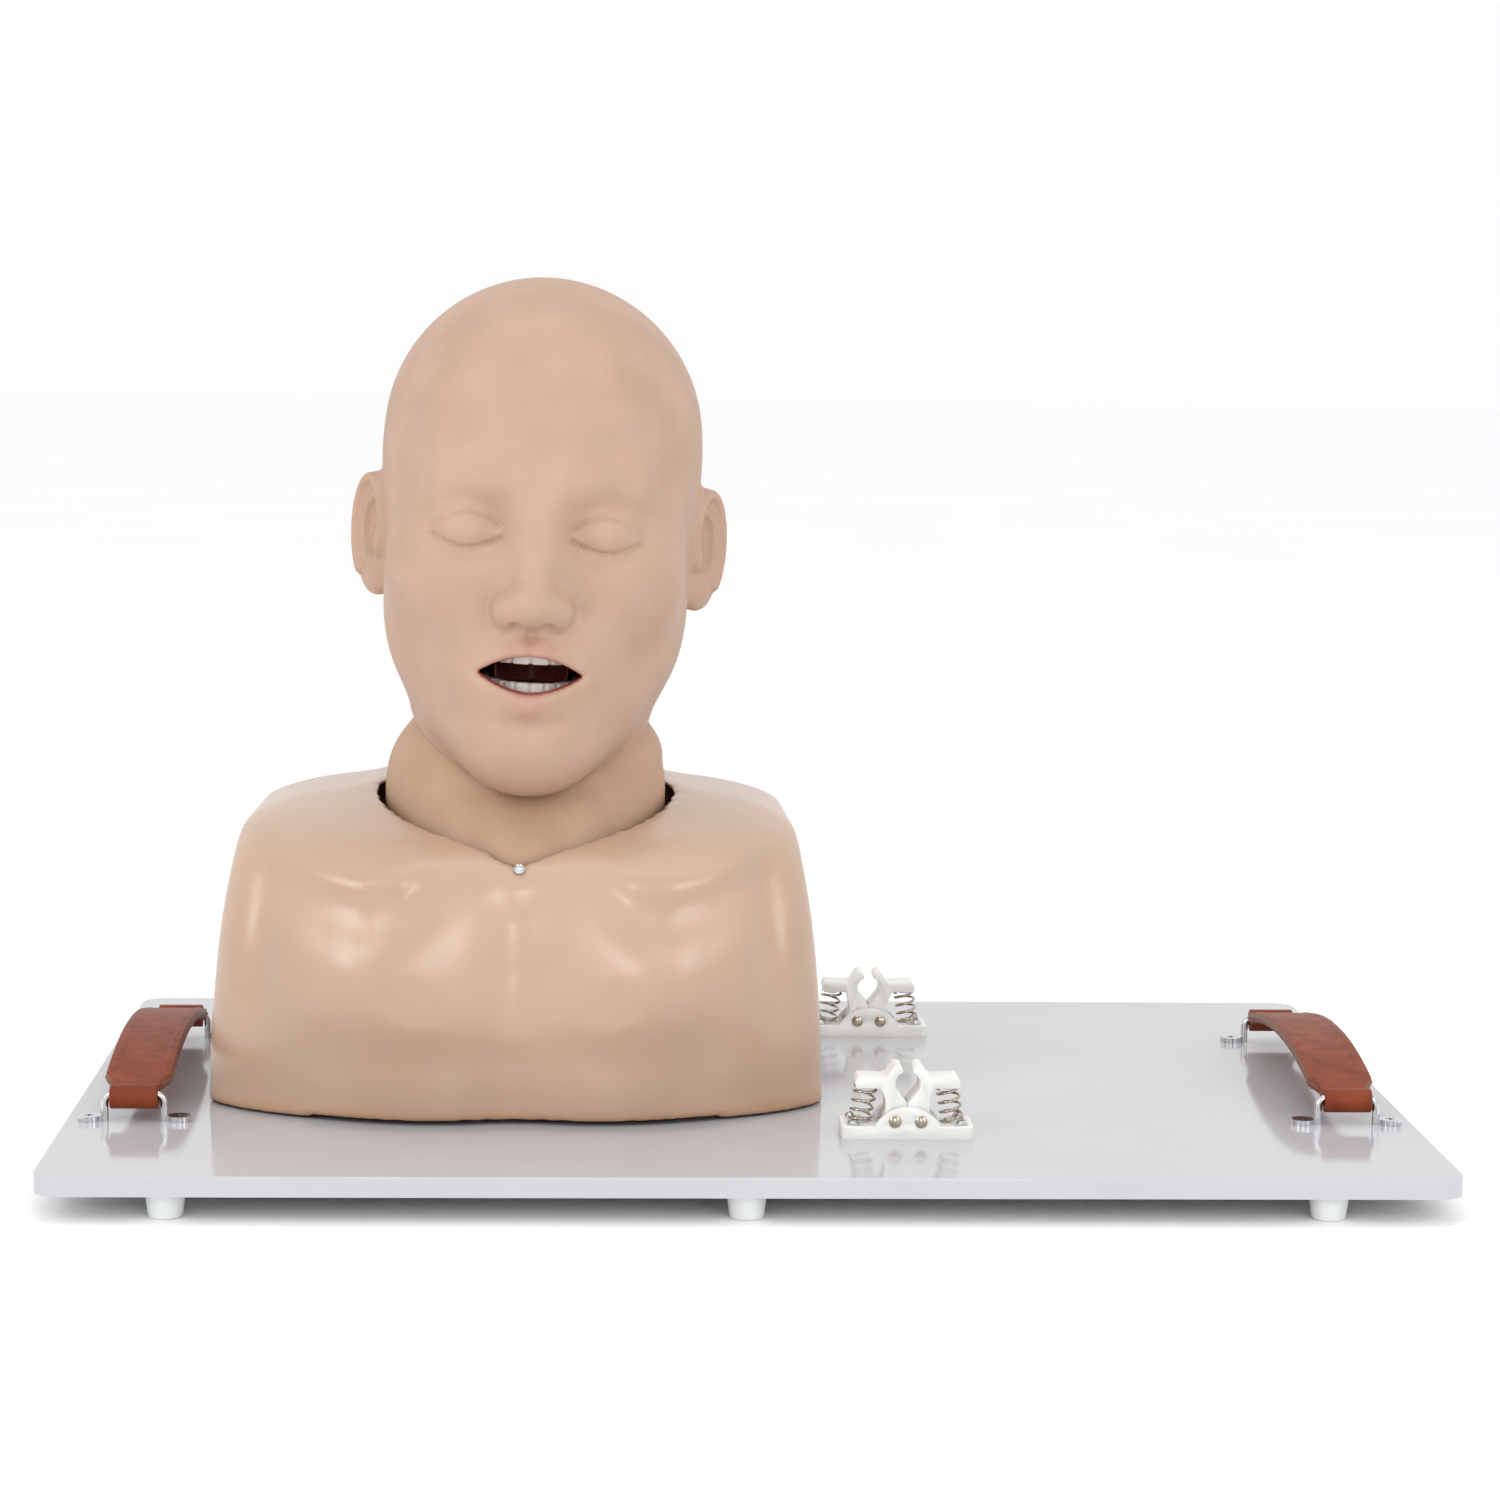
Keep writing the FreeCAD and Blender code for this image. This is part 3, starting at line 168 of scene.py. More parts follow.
def foot_rubber():
    # Moulded thermoplastic rubber: pale, slightly translucent and dull
    material, tree, shader, place = blank_material("pale_moulded_rubber", "#DDE1E0", 0.5, IOR=1.5)
    tree.links.new(mottle(tree, place, 7, ("#DADCDD", "#E6E8E8")), shader.inputs["Base Color"])
    skin = add(tree, "ShaderNodeTexNoise", {"Vector": place, "Scale": per_metre(0.8), "Detail": 3.0})
    grain(tree, shader, skin.outputs["Fac"], 0.05, 0.5)
    return material


def bright_metal(name, tones, roughness, brush_mm):
    # Plated steel: mirror-like, with fine polishing marks that soften its highlights
    material, tree, shader, place = blank_material(name, tones[0], roughness, Metallic=1.0)
    tree.links.new(mottle(tree, place, 3.0, tones), shader.inputs["Base Color"])
    marks = add(tree, "ShaderNodeTexNoise", {"Vector": place, "Scale": per_metre(brush_mm), "Detail": 4.0})
    rough = add(
        tree,
        "ShaderNodeMapRange",
        {"Value": marks.outputs["Fac"], "To Min": roughness * 0.7, "To Max": roughness * 1.4},
    )
    tree.links.new(rough.outputs["Result"], shader.inputs["Roughness"])
    grain(tree, shader, marks.outputs["Fac"], 0.01, 0.4)
    return material


def strap_leather():
    # Vegetable-tanned leather: red-brown with a fine pebbled grain, and raw fibre on its cut edges
    material, tree, shader, place = blank_material("tanned_leather", "#773418", 0.6, IOR=1.45)
    shader.inputs["Specular IOR Level"].default_value = 0.3
    face = mottle(tree, place, 11, ("#6E2C12", "#863C1A"), 6.0)
    fibre = mottle(tree, place, 0.9, ("#5A3A2C", "#8A6450"), 4.0)
    cut = add(tree, "ShaderNodeAttribute", attribute_name="cut_edge")
    both = add(
        tree,
        "ShaderNodeMix",
        {"Factor": cut.outputs["Fac"], "A": face, "B": fibre},
        data_type="RGBA",
    )
    tree.links.new(both.outputs["Result"], shader.inputs["Base Color"])
    pebble = add(tree, "ShaderNodeTexVoronoi", {"Vector": place, "Scale": per_metre(0.9)})
    crease = add(tree, "ShaderNodeTexNoise", {"Vector": place, "Scale": per_metre(5), "Detail": 5.0})
    low = grain(tree, shader, pebble.outputs["Distance"], 0.09, 0.55)
    grain(tree, shader, crease.outputs["Fac"], 0.25, 0.35, low)
    sheen = add(
        tree,
        "ShaderNodeMapRange",
        {"Value": crease.outputs["Fac"], "To Min": 0.38, "To Max": 0.58},
    )
    tree.links.new(sheen.outputs["Result"], shader.inputs["Roughness"])
    return material


def strap_thread():
    # Waxed polyester thread: dark, dull, with its twist showing as slanting ridges
    material, tree, shader, place = blank_material("waxed_thread", "#34150C", 0.7, IOR=1.5)
    tree.links.new(mottle(tree, place, 1.5, ("#2A110A", "#40200F")), shader.inputs["Base Color"])
    twist = add(tree, "ShaderNodeTexWave", {"Vector": place, "Scale": per_metre(0.5), "Distortion": 1.0})
    grain(tree, shader, twist.outputs["Fac"], 0.08, 0.6)
    return material


def clip_nylon():
    # Injection-moulded nylon: clean white, waxy, light glows a little way into it
    material, tree, shader, place = blank_material("moulded_nylon", "#E3E3E0", 0.38, IOR=1.53)
    shader.inputs["Subsurface Weight"].default_value = 0.25
    shader.inputs["Subsurface Radius"].default_value = (0.004, 0.004, 0.0038)
    shader.inputs["Subsurface Scale"].default_value = 0.4
    tree.links.new(mottle(tree, place, 12, ("#DFDFDB", "#E8E8E5")), shader.inputs["Base Color"])
    skin = add(tree, "ShaderNodeTexNoise", {"Vector": place, "Scale": per_metre(1.1), "Detail": 4.0})
    grain(tree, shader, skin.outputs["Fac"], 0.04, 0.5)
    return material


def chest_vinyl():
    # Vacuum-formed vinyl: skin-toned and glossy, with a painted glow of light coming through its thin lower
    # edge
    material, tree, shader, place = blank_material("vacuum_formed_vinyl", "#B79980", 0.32, IOR=1.53)
    shader.inputs["Coat Weight"].default_value = 0.45
    shader.inputs["Coat Roughness"].default_value = 0.25
    body = mottle(tree, place, 60, ("#B3957C", "#BB9C84"))
    # Painted glow: an orange-brown tint, strongest just above the board and gone 9 mm up, stands in for light
    # shining through the thin edge
    height = add(tree, "ShaderNodeSeparateXYZ", {"Vector": place})
    edge = add(
        tree,
        "ShaderNodeMapRange",
        {
            "Value": height.outputs["Z"],
            "From Min": (board_top + 1.0) * MM,
            "From Max": (board_top + 9.0) * MM,
            "To Min": 0.55,
            "To Max": 0.0,
        },
        interpolation_type="SMOOTHSTEP",
    )
    edge_glow = add(
        tree,
        "ShaderNodeMix",
        {"Factor": edge.outputs["Result"], "A": body, "B": linear("#B07A4C")},
        data_type="RGBA",
    )
    tree.links.new(edge_glow.outputs["Result"], shader.inputs["Base Color"])
    stretch = add(tree, "ShaderNodeTexNoise", {"Vector": place, "Scale": per_metre(38), "Detail": 2.0})
    speck = add(tree, "ShaderNodeTexNoise", {"Vector": place, "Scale": per_metre(1.6), "Detail": 2.0})
    low = grain(tree, shader, stretch.outputs["Fac"], 0.5, 0.25)
    grain(tree, shader, speck.outputs["Fac"], 0.03, 0.3, low)
    return material


def skin_vinyl(name, tones, tint="#B98573"):
    # Soft slush-moulded vinyl: matte skin with faint blotches, pores and a rosier tint on the lips
    material, tree, shader, place = blank_material(name, tones[0], 0.55, IOR=1.45)
    body = mottle(tree, place, 26, tones, 4.0)
    lip = add(tree, "ShaderNodeAttribute", attribute_name="lip")
    both = add(
        tree,
        "ShaderNodeMix",
        {"Factor": lip.outputs["Fac"], "A": body, "B": linear(tint)},
        data_type="RGBA",
    )
    tree.links.new(both.outputs["Result"], shader.inputs["Base Color"])
    pore = add(tree, "ShaderNodeTexVoronoi", {"Vector": place, "Scale": per_metre(1.3)})
    cloth = add(tree, "ShaderNodeTexNoise", {"Vector": place, "Scale": per_metre(4.5), "Detail": 4.0})
    low = grain(tree, shader, pore.outputs["Distance"], 0.06, 0.35)
    grain(tree, shader, cloth.outputs["Fac"], 0.16, 0.35, low)
    return material


def mouth_lining():
    # Flexible vinyl inside the mouth: deep red, moist-looking
    material, tree, shader, place = blank_material("mouth_lining_vinyl", "#A85549", 0.35, IOR=1.45)
    tree.links.new(mottle(tree, place, 6, ("#A04C41", "#BC685A")), shader.inputs["Base Color"])
    fold = add(tree, "ShaderNodeTexNoise", {"Vector": place, "Scale": per_metre(3), "Detail": 4.0})
    grain(tree, shader, fold.outputs["Fac"], 0.2, 0.4)
    return material


def tongue_vinyl():
    # Soft vinyl tongue: pinkish red with fine rounded bumps
    material, tree, shader, place = blank_material("tongue_vinyl", "#A55A50", 0.4, IOR=1.45)
    tree.links.new(mottle(tree, place, 5, ("#9C5148", "#B0665B")), shader.inputs["Base Color"])
    bud = add(tree, "ShaderNodeTexVoronoi", {"Vector": place, "Scale": per_metre(0.9)})
    grain(tree, shader, bud.outputs["Distance"], 0.12, 0.5)
    return material


def tooth_acrylic():
    # Dental acrylic: white glossy crowns, rose-pink gum at their roots
    material, tree, shader, place = blank_material("dental_acrylic", "#F3F0E8", 0.2, IOR=1.49)
    crown = mottle(tree, place, 8, ("#EFEBE0", "#F7F5F0"))
    gum = add(tree, "ShaderNodeAttribute", attribute_name="gum")
    both = add(
        tree,
        "ShaderNodeMix",
        {"Factor": gum.outputs["Fac"], "A": crown, "B": linear("#A5564C")},
        data_type="RGBA",
    )
    tree.links.new(both.outputs["Result"], shader.inputs["Base Color"])
    glaze = add(tree, "ShaderNodeTexNoise", {"Vector": place, "Scale": per_metre(2.4), "Detail": 2.0})
    grain(tree, shader, glaze.outputs["Fac"], 0.05, 0.3)
    return material


def plain_moulding(name, tones, roughness, patch_mm, grain_mm, depth_mm):
    # Moulded inner part: even colour with slight clouding and a fine matt grain
    material, tree, shader, place = blank_material(name, tones[0], roughness, IOR=1.5)
    tree.links.new(mottle(tree, place, patch_mm, tones), shader.inputs["Base Color"])
    fine = add(tree, "ShaderNodeTexNoise", {"Vector": place, "Scale": per_metre(grain_mm), "Detail": 4.0})
    grain(tree, shader, fine.outputs["Fac"], depth_mm, 0.5)
    return material


materials = {
    "board": board_sheet(),
    "foot": foot_rubber(),
    "chrome": bright_metal("chrome_plated_steel", ("#D2D3D5", "#C2C3C6"), 0.14, 0.7),
    "nickel": bright_metal("nickel_spring_wire", ("#C3BBAC", "#A79E8F"), 0.2, 0.5),
    "leather": strap_leather(),
    "thread": strap_thread(),
    "nylon": clip_nylon(),
    "chest": chest_vinyl(),
    "skin": skin_vinyl("slush_moulded_vinyl", ("#B1927D", "#BA9A86")),
    "neck": skin_vinyl("neck_vinyl", ("#AC8A70", "#B6957A")),
    "lining": mouth_lining(),
    "tongue": tongue_vinyl(),
    "tooth": tooth_acrylic(),
    "bone": plain_moulding("ivory_abs", ("#E6DECB", "#EDE6D6"), 0.5, 18, 1.0, 0.05),
    "steel": bright_metal("turned_steel", ("#9B9DA0", "#86888C"), 0.32, 0.4),
    "airway": plain_moulding("ribbed_latex", ("#C7907E", "#D49F8C"), 0.5, 9, 1.2, 0.08),
    "lung": plain_moulding("pink_latex", ("#B9756C", "#C6867B"), 0.45, 14, 1.5, 0.1),
    "stomach": plain_moulding("tan_latex", ("#C9B184", "#D3BD93"), 0.45, 14, 1.5, 0.1),
}


def paint(piece, *names):
    """Gives a piece its materials, first slot first."""
    piece.data.materials.clear()
    for name in names:
        piece.data.materials.append(materials[name])
    return piece


def smooth(piece):
    piece.data.polygons.foreach_set("use_smooth", np.ones(len(piece.data.polygons), bool))
    piece.data.update()
    return piece


def new_piece(name, points, faces):
    """A mesh object from arrays of points in mm and of faces with equal corner counts."""
    mesh = bpy.data.meshes.new(name)
    mesh.vertices.add(len(points))
    mesh.vertices.foreach_set("co", (np.asarray(points) * MM).astype(np.float32).ravel())
    mesh.loops.add(faces.size)
    mesh.loops.foreach_set("vertex_index", faces.astype(np.int32).ravel())
    mesh.polygons.add(len(faces))
    mesh.polygons.foreach_set("loop_start", np.arange(len(faces), dtype=np.int32) * faces.shape[1])
    mesh.update(calc_edges=True)
    piece = bpy.data.objects.new(name, mesh)
    bpy.context.scene.collection.objects.link(piece)
    return piece


def relax(points, faces, rounds, share=0.5):
    """Evens out a quad mesh by moving each point towards its neighbours."""
    pairs = np.vstack([faces[:, [i, (i + 1) % 4]] for i in range(4)])
    count = np.bincount(pairs.ravel(), minlength=len(points))[:, None]
    for _ in range(rounds):
        total = np.empty_like(points)
        for axis in range(3):
            to_first = np.bincount(pairs[:, 0], points[pairs[:, 1], axis], len(points))
            to_second = np.bincount(pairs[:, 1], points[pairs[:, 0], axis], len(points))
            total[:, axis] = to_first + to_second
        points = points + share * (total / count - points)
    return points


def add_value(piece, name, values):
    attribute = piece.data.attributes.new(name, "FLOAT", "POINT")
    attribute.data.foreach_set("value", np.asarray(values, np.float32))


def apply_modifiers(piece):
    """Replaces the piece's mesh by its finished one and drops the modifiers."""
    bpy.context.view_layer.update()
    graph = bpy.context.evaluated_depsgraph_get()
    mesh = bpy.data.meshes.new_from_object(piece.evaluated_get(graph))
    piece.modifiers.clear()
    old = piece.data
    piece.data = mesh
    bpy.data.meshes.remove(old)
    return piece


def thin_out(piece, share):
    """Drops the triangles that a smooth stretch can spare."""
    step = piece.modifiers.new("thin", "DECIMATE")
    step.ratio = share
    return apply_modifiers(piece)


def merged_copy(node, name):
    """A copy of a CAD node's mesh with its doubled points merged."""
    mesh = nodes[node].data.copy()
    mesh.name = name
    copy = bpy.data.objects.new(name, mesh)
    bpy.context.scene.collection.objects.link(copy)
    form = bmesh.new()
    form.from_mesh(mesh)
    bmesh.ops.remove_doubles(form, verts=form.verts, dist=0.002 * MM)
    form.to_mesh(mesh)
    form.free()
    return copy


def edged_copy(node, name, bevel_mm, flat_deg=3.0):
    """A moulded piece: the node's own shape with its sharp edges broken by a small round."""
    piece = merged_copy(node, name)
    form = bmesh.new()
    form.from_mesh(piece.data)
    bmesh.ops.dissolve_limit(
        form, angle_limit=math.radians(flat_deg), verts=form.verts, edges=form.edges
    )
    form.to_mesh(piece.data)
    form.free()
    step = piece.modifiers.new("edges", "BEVEL")
    step.width = bevel_mm * MM
    step.segments = 3
    step.limit_method = "ANGLE"
    step.angle_limit = math.radians(32)
    step.harden_normals = True
    piece = apply_modifiers(piece)
    smooth(piece)
    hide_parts(node)
    return piece


def solid_grid(node, voxel_mm):
    """A CAD node's solid as evenly spaced quads, for softening and relief."""
    copy = merged_copy(node, "grid_source")
    mesh = copy.data
    mesh.calc_loop_triangles()
    points = np.empty(len(mesh.vertices) * 3, np.float32)
    mesh.vertices.foreach_get("co", points)
    triangles = np.empty(len(mesh.loop_triangles) * 3, np.int32)
    mesh.loop_triangles.foreach_get("vertices", triangles)
    points = points.reshape(-1, 3) / (MM * voxel_mm)
    grid = openvdb.FloatGrid.createLevelSetFromPolygons(
        points.astype(np.float32), triangles=triangles.reshape(-1, 3).astype(np.uint32), halfWidth=3.0
    )
    bpy.data.objects.remove(copy)
    found, quads = grid.convertToQuads()
    return found.astype(float) * voxel_mm, quads.astype(np.int64)


def point_normals(points, quads):
    """Area-weighted normals of a quad mesh."""
    a, b, c, d = (points[quads[:, i]] for i in range(4))
    across = np.cross(c - a, d - b)
    total = np.empty_like(points)
    for axis in range(3):
        weight = np.repeat(across[:, axis], 4)
        total[:, axis] = np.bincount(quads.ravel(), weight, len(points))
    return total / np.maximum(np.linalg.norm(total, axis=1), 1e-9)[:, None]


def ramp(value, start, length):
    """0 below start, then evenly up to 1 over the length."""
    return np.clip((value - start) / length, 0.0, 1.0)


def fade(value, end, length):
    """1 at first, then evenly down to 0 at the end over the length."""
    return np.clip((end - value) / length, 0.0, 1.0)


def bell(value, centre, width):
    """1 at the centre, and smoothly less away from it."""
    return np.exp(-(((value - centre) / width) ** 2))


# Head surface: rounded union of simple forms in the head's own frame, as distances in mm
def smooth_min(a, b, k):
    h = np.maximum(k - np.abs(a - b), 0.0) / k
    return np.minimum(a, b) - h * h * k * 0.25


def carve(body, tool, k):
    return -smooth_min(-body, tool, k)


def egg(p, centre, radii):
    a = [(p[i] - centre[i]) / radii[i] for i in range(3)]
    k0 = np.sqrt(a[0] ** 2 + a[1] ** 2 + a[2] ** 2)
    k1 = np.sqrt((a[0] / radii[0]) ** 2 + (a[1] / radii[1]) ** 2 + (a[2] / radii[2]) ** 2)
    return k0 * (k0 - 1.0) / np.maximum(k1, 1e-9)


def rod(p, a, b, ra, rb):
    run = [b[i] - a[i] for i in range(3)]
    length = sum(r * r for r in run)
    t = np.clip(sum((p[i] - a[i]) * run[i] for i in range(3)) / length, 0.0, 1.0)
    gap = np.sqrt(sum((p[i] - a[i] - t * run[i]) ** 2 for i in range(3)))
    return gap - (ra + (rb - ra) * t)


def chain(p, stops, radii):
    """Rods end to end, such as the rim of an ear."""
    d = rod(p, stops[0], stops[1], radii[0], radii[1])
    for i in range(1, len(stops) - 1):
        d = np.minimum(d, rod(p, stops[i], stops[i + 1], radii[i], radii[i + 1]))
    return d


def crease(d, x, z, stops, width, depth):
    """A soft line pressed into the front of the face along stops of (x, z)."""
    gap = np.full(np.broadcast(x, z).shape, 1e3)
    for (x0, z0), (x1, z1) in zip(stops, stops[1:]):
        run = (x1 - x0) ** 2 + (z1 - z0) ** 2
        t = np.clip(((x - x0) * (x1 - x0) + (z - z0) * (z1 - z0)) / run, 0.0, 1.0)
        gap = np.minimum(gap, np.hypot(x - x0 - t * (x1 - x0), z - z0 - t * (z1 - z0)))
    return d + depth * np.exp(-((gap / width) ** 2))


def head_core(p):
    d = egg(p, (0, 14, 44), (76, 80, 76))
    d = smooth_min(d, egg(p, (0, -26, 44), (66, 68, 72)), 20)
    d = smooth_min(d, egg(p, (0, 2, 2), (73, 76, 84)), 16)
    d = smooth_min(d, egg(p, (0, -34, -24), (63, 59, 64)), 20)
    d = smooth_min(d, egg(p, (0, -44, -74), (52, 46, 42)), 20)
    d = smooth_min(d, egg(p, (40, -12, -46), (29, 40, 38)), 18)
    return smooth_min(d, rod(p, (0, 0, -20), (0, 0, -190), rim_r, rim_r), 12)


upper_lip = ((4, -98.5, -49.2), (24, -86, -57))
lower_lip = ((0, -97, -73.5), (21, -86, -66))
lid_line = ((15.5, 1.5), (20, -1.0), (26, -3.6), (32, -4.4), (38, -3.6), (44, -1.2), (48.5, 1.5))
lid_fold = ((16.5, 6.5), (22, 10.5), (30, 12.6), (38, 11.6), (45, 7.5), (49, 4.0))


def head_face(d, p):
    # Cheek, muzzle and chin masses, brow, socket and closed lid
    d = smooth_min(d, egg(p, (39, -58, -13), (25, 22, 22)), 26)
    d = smooth_min(d, egg(p, (0, -78, -58), (34, 20, 26)), 18)
    d = smooth_min(d, egg(p, (0, -75, -97), (27, 18, 20)), 22)
    d = smooth_min(d, rod(p, (9, -84.5, 23), (42, -73, 26), 8.5, 6.5), 18)
    d = carve(d, egg(p, (31, -101.5, 5), (19, 15, 12)), 14)
    d = smooth_min(d, egg(p, (31, -76, 4), (16.5, 15, 14)), 4)
    # Nose: wedge, ridge, tip, wing and nostril
    d = smooth_min(d, egg(p, (0, -88, -14), (15, 13, 28)), 12)
    d = smooth_min(d, rod(p, (0, -90, 15), (0, -105.0, -26), 5.5, 7.5), 9)
    d = smooth_min(d, egg(p, (0, -106.8, -28.5), (10, 10, 9)), 8)
    d = smooth_min(d, egg(p, (11, -99, -31.5), (8, 10.5, 7.5)), 8)
    d = carve(d, egg(p, (6.8, -106, -39), (3.2, 5.0, 4.5)), 2)
    # Lips
    d = smooth_min(d, rod(p, *upper_lip, 5.2, 2.8), 6)
    d = smooth_min(d, rod(p, *lower_lip, 5.6, 3.0), 7)
    # Fine folds of lids, nose wing, lip groove, cheek and chin
    x, z = p[0], p[2]
    d = crease(d, x, z, lid_line, 0.8, 1.5)
    d = crease(d, x, z, lid_fold, 1.1, 1.0)
    d = crease(d, x, z, ((19.5, -25), (21.0, -32), (18.5, -38)), 2.2, 0.8)
    d = crease(d, x, z, ((0, -42), (0, -47)), 2.8, 0.9)
    d = crease(d, x, z, ((22, -33), (27, -42), (31, -54)), 5.0, 0.9)
    return crease(d, x, z, ((0, -85), (9, -84.5), (14, -83)), 4.0, 1.1)


ear_at = (79.5, 10.0, -6.0)
ear_turn = math.radians(34)


def head_ear(p):
    # In the ear's own frame: bowl, rim, inner fold, canal, the small flap before it, and the lobe
    x, y, z = (p[i] - ear_at[i] for i in range(3))
    c, s = math.cos(ear_turn), math.sin(ear_turn)
    q = [x * c - y * s, y * c + x * s, z]
    d = egg(q, (-1.0, 0, 0), (5.0, 15.5, 29.5))
    d = carve(d, egg(q, (5.5, -1.0, 4.0), (5.5, 10.0, 21.0)), 3)
    round_rim = [math.radians(a) for a in range(-55, 206, 20)]
    rim = [(2.6, 0.5 + 12.0 * math.cos(t), 2.0 + 24.5 * math.sin(t)) for t in round_rim]
    d = smooth_min(d, chain(q, rim, [2.3] * len(rim)), 2.5)
    fold = [(2.0, -4.0 + 9.5 * math.cos(t), 1.0 + 17.0 * math.sin(t)) for t in round_rim[:8]]
    d = smooth_min(d, chain(q, fold, [1.7] * len(fold)), 3)
    d = carve(d, egg(q, (4.0, -3.5, -3.5), (6.5, 5.0, 8.0)), 2)
    d = smooth_min(d, egg(q, (2.0, -10.5, -4.0), (3.4, 3.2, 5.0)), 3)
    return smooth_min(d, egg(q, (-1.0, -6.5, -20.5), (4.2, 6.5, 8.5)), 5)


mouth_half = 24.0
mouth_gape = 8.4
mouth_z = -60.4
mouth_back = -55.0
mouth_round = 3.5


def mouth_opening(p):
    # Lens-shaped slot with pointed corners
    share = np.clip(p[0] / mouth_half, -1.5, 1.5)
    lift = mouth_gape * (1.0 - share**2)
    slant = np.sqrt(1.0 + (2.0 * mouth_gape * share / mouth_half) ** 2)
    return np.maximum((np.abs(p[2] - mouth_z) - lift) / slant, p[1] - mouth_back)


# Gum arch seen from above, and the heights between which the gums have room
arch_y = -48.0
arch_half = 29.7
arch_depth = 39.3
arch_mean = 32.0
gum_low = -95.7
gum_high = -33.3


def gum_pocket(p):
    # Room inside the lips for both gums
    side = np.hypot(p[0] / arch_half, np.minimum(p[1] - arch_y, 0.0) / arch_depth)
    plan = (side - 1.0) * arch_mean
    deep = np.maximum(gum_low - p[2], p[2] - gum_high)
    return np.maximum(np.maximum(plan, deep), p[1] - arch_y)


def to_world(points):
    """Head frame to the object's frame."""
    c, s = math.cos(head_roll), math.sin(head_roll)
    x, y, z = points[:, 0], points[:, 1], points[:, 2]
    return np.stack([head_at[0] + x * c + z * s, head_at[1] + y, head_at[2] - x * s + z * c], axis=1)


def to_head(points):
    """The object's frame to the head frame."""
    c, s = math.cos(head_roll), math.sin(head_roll)
    x, y, z = (points[:, i] - head_at[i] for i in range(3))
    return np.stack([x * c - z * s, y, x * s + z * c], axis=1)


# Box of the half head, the parts of it that the face and the ear reach, and how far the crown is lowered
half_low = (0, -126, -124)
half_high = (96, 104, 124)
face_back = -6.0
face_top = 66.0
ear_start = 62.0
crown_start = 40.0
crown_rise = 79.0
crown_drop = 1.2


def build_head():
    voxel = 1.05
    low = np.array([round(edge / voxel) for edge in half_low])
    high = np.array([round(edge / voxel) for edge in half_high])
    axes = [np.arange(low[i], high[i] + 1) * voxel for i in range(3)]
    p = np.meshgrid(*axes, indexing="ij", sparse=True)
    core = head_core(p)
    skin = core.copy()
    rows = slice(0, int(np.searchsorted(axes[1], face_back)))
    layers = slice(0, int(np.searchsorted(axes[2], face_top)))
    front = (slice(None), rows, layers)
    part = [p[0], p[1][:, rows], p[2][:, :, layers]]
    skin[front] = head_face(core[front], part)
    side = slice(int(np.searchsorted(axes[0], ear_start)), None)
    skin[side] = smooth_min(skin[side], head_ear([p[0][side], p[1], p[2]]), 4)
    skin = np.maximum(skin, -(core + skin_t))
    skin = carve(skin, mouth_opening(p), mouth_round)
    skin = np.maximum(skin, -gum_pocket(p))
    below = (rim_z + rim_slope * p[1] - p[2]) / math.hypot(1.0, rim_slope)
    skin = np.maximum(skin, below)
    bore = rim_bore - np.hypot(p[0], p[1])
    skin = np.where(p[2] < bore_top, np.maximum(skin, bore), skin)
    whole = np.concatenate([skin[:0:-1], skin], axis=0)
    grid = openvdb.FloatGrid(3.0)
    values = np.clip(whole / voxel, -3.0, 3.0).astype(np.float32)
    grid.copyFromArray(values, ijk=(-int(high[0]), int(low[1]), int(low[2])))
    points, quads = grid.convertToQuads()
    points = points.astype(float) * voxel
    quads = quads.astype(np.int64)
    points = relax(points, quads, 2, 0.35)
    # The crown stays inside the CAD head's height
    points[:, 2] -= crown_drop * ramp(points[:, 2], crown_start, crown_rise)
    piece = new_piece("head_skin_look", to_world(points), quads)
    return finish_head(piece, points, quads)


# How far under the outer face surface a face by the mouth must lie to belong to the lining
lining_depth = -1.6
# Share of its triangles that the head skin keeps
skin_share = 0.32


def finish_head(piece, points, quads):
    p = [np.abs(points[:, 0]), points[:, 1], points[:, 2]]
    upper = rod(p, *upper_lip, 6.2, 2.6)
    lower = rod(p, *lower_lip, 6.4, 2.8)
    lip = np.clip(0.9 - np.minimum(upper, lower) / 1.8, 0.0, 1.0)
    lip *= fade(points[:, 1], -80.0, 5.0)
    add_value(piece, "lip", lip * 0.4)
    paint(piece, "skin", "lining")
    at = points[quads].mean(axis=1)
    q = [np.abs(at[:, 0]), at[:, 1], at[:, 2]]
    outside = head_face(head_core(q), q)
    # Faces behind the lips and around the gums belong to the lining
    by_mouth = (at[:, 1] < -40.0) & (at[:, 2] < -20.0) & (at[:, 2] > -100.0)
    lined = (outside < lining_depth) & by_mouth
    piece.data.polygons.foreach_set("material_index", lined.astype(np.int32))
    piece = thin_out(piece, skin_share)
    smooth(piece)
    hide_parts("head_skin")
    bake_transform(piece)
    return piece


def from_neck(points):
    """Places seen from the neck's axis: x, y, the angle from the front and the radius of the opening there."""
    dx = points[:, 0] - head_at[0]
    dy = points[:, 1] - head_at[1]
    turn = np.arctan2(np.abs(dx), -dy)
    return dx, dy, turn, np.interp(turn, opening_turn, opening_reach)


def flare_neck(points):
    """Lets the foot of the sleeve lie closer to the chest opening, as soft vinyl does."""
    dx, dy, turn, opening = from_neck(points)
    top = flare_front + flare_side * np.sin(np.minimum(turn, math.pi / 2)) ** 2
    # The CAD sleeve ends its flare 2 mm below this top, and the soft one 6 mm above it
    drawn = ramp(points[:, 2], flare_low, top - (flare_low + 2.0))
    soft = ramp(points[:, 2], flare_low, top - (flare_low - 6.0))
    before = 1.0 - drawn * drawn * (3.0 - 2.0 * drawn)
    after = (1.0 - soft**5) ** 1.5
    widening = np.clip(opening - rim_room - neck_narrow, 0.0, 16.0)
    shift = widening * np.clip(after - before, 0.0, 1.0)
    reach = np.hypot(dx, dy)
    points[:, 0] += dx / reach * shift
    points[:, 1] += dy / reach * shift
    return points


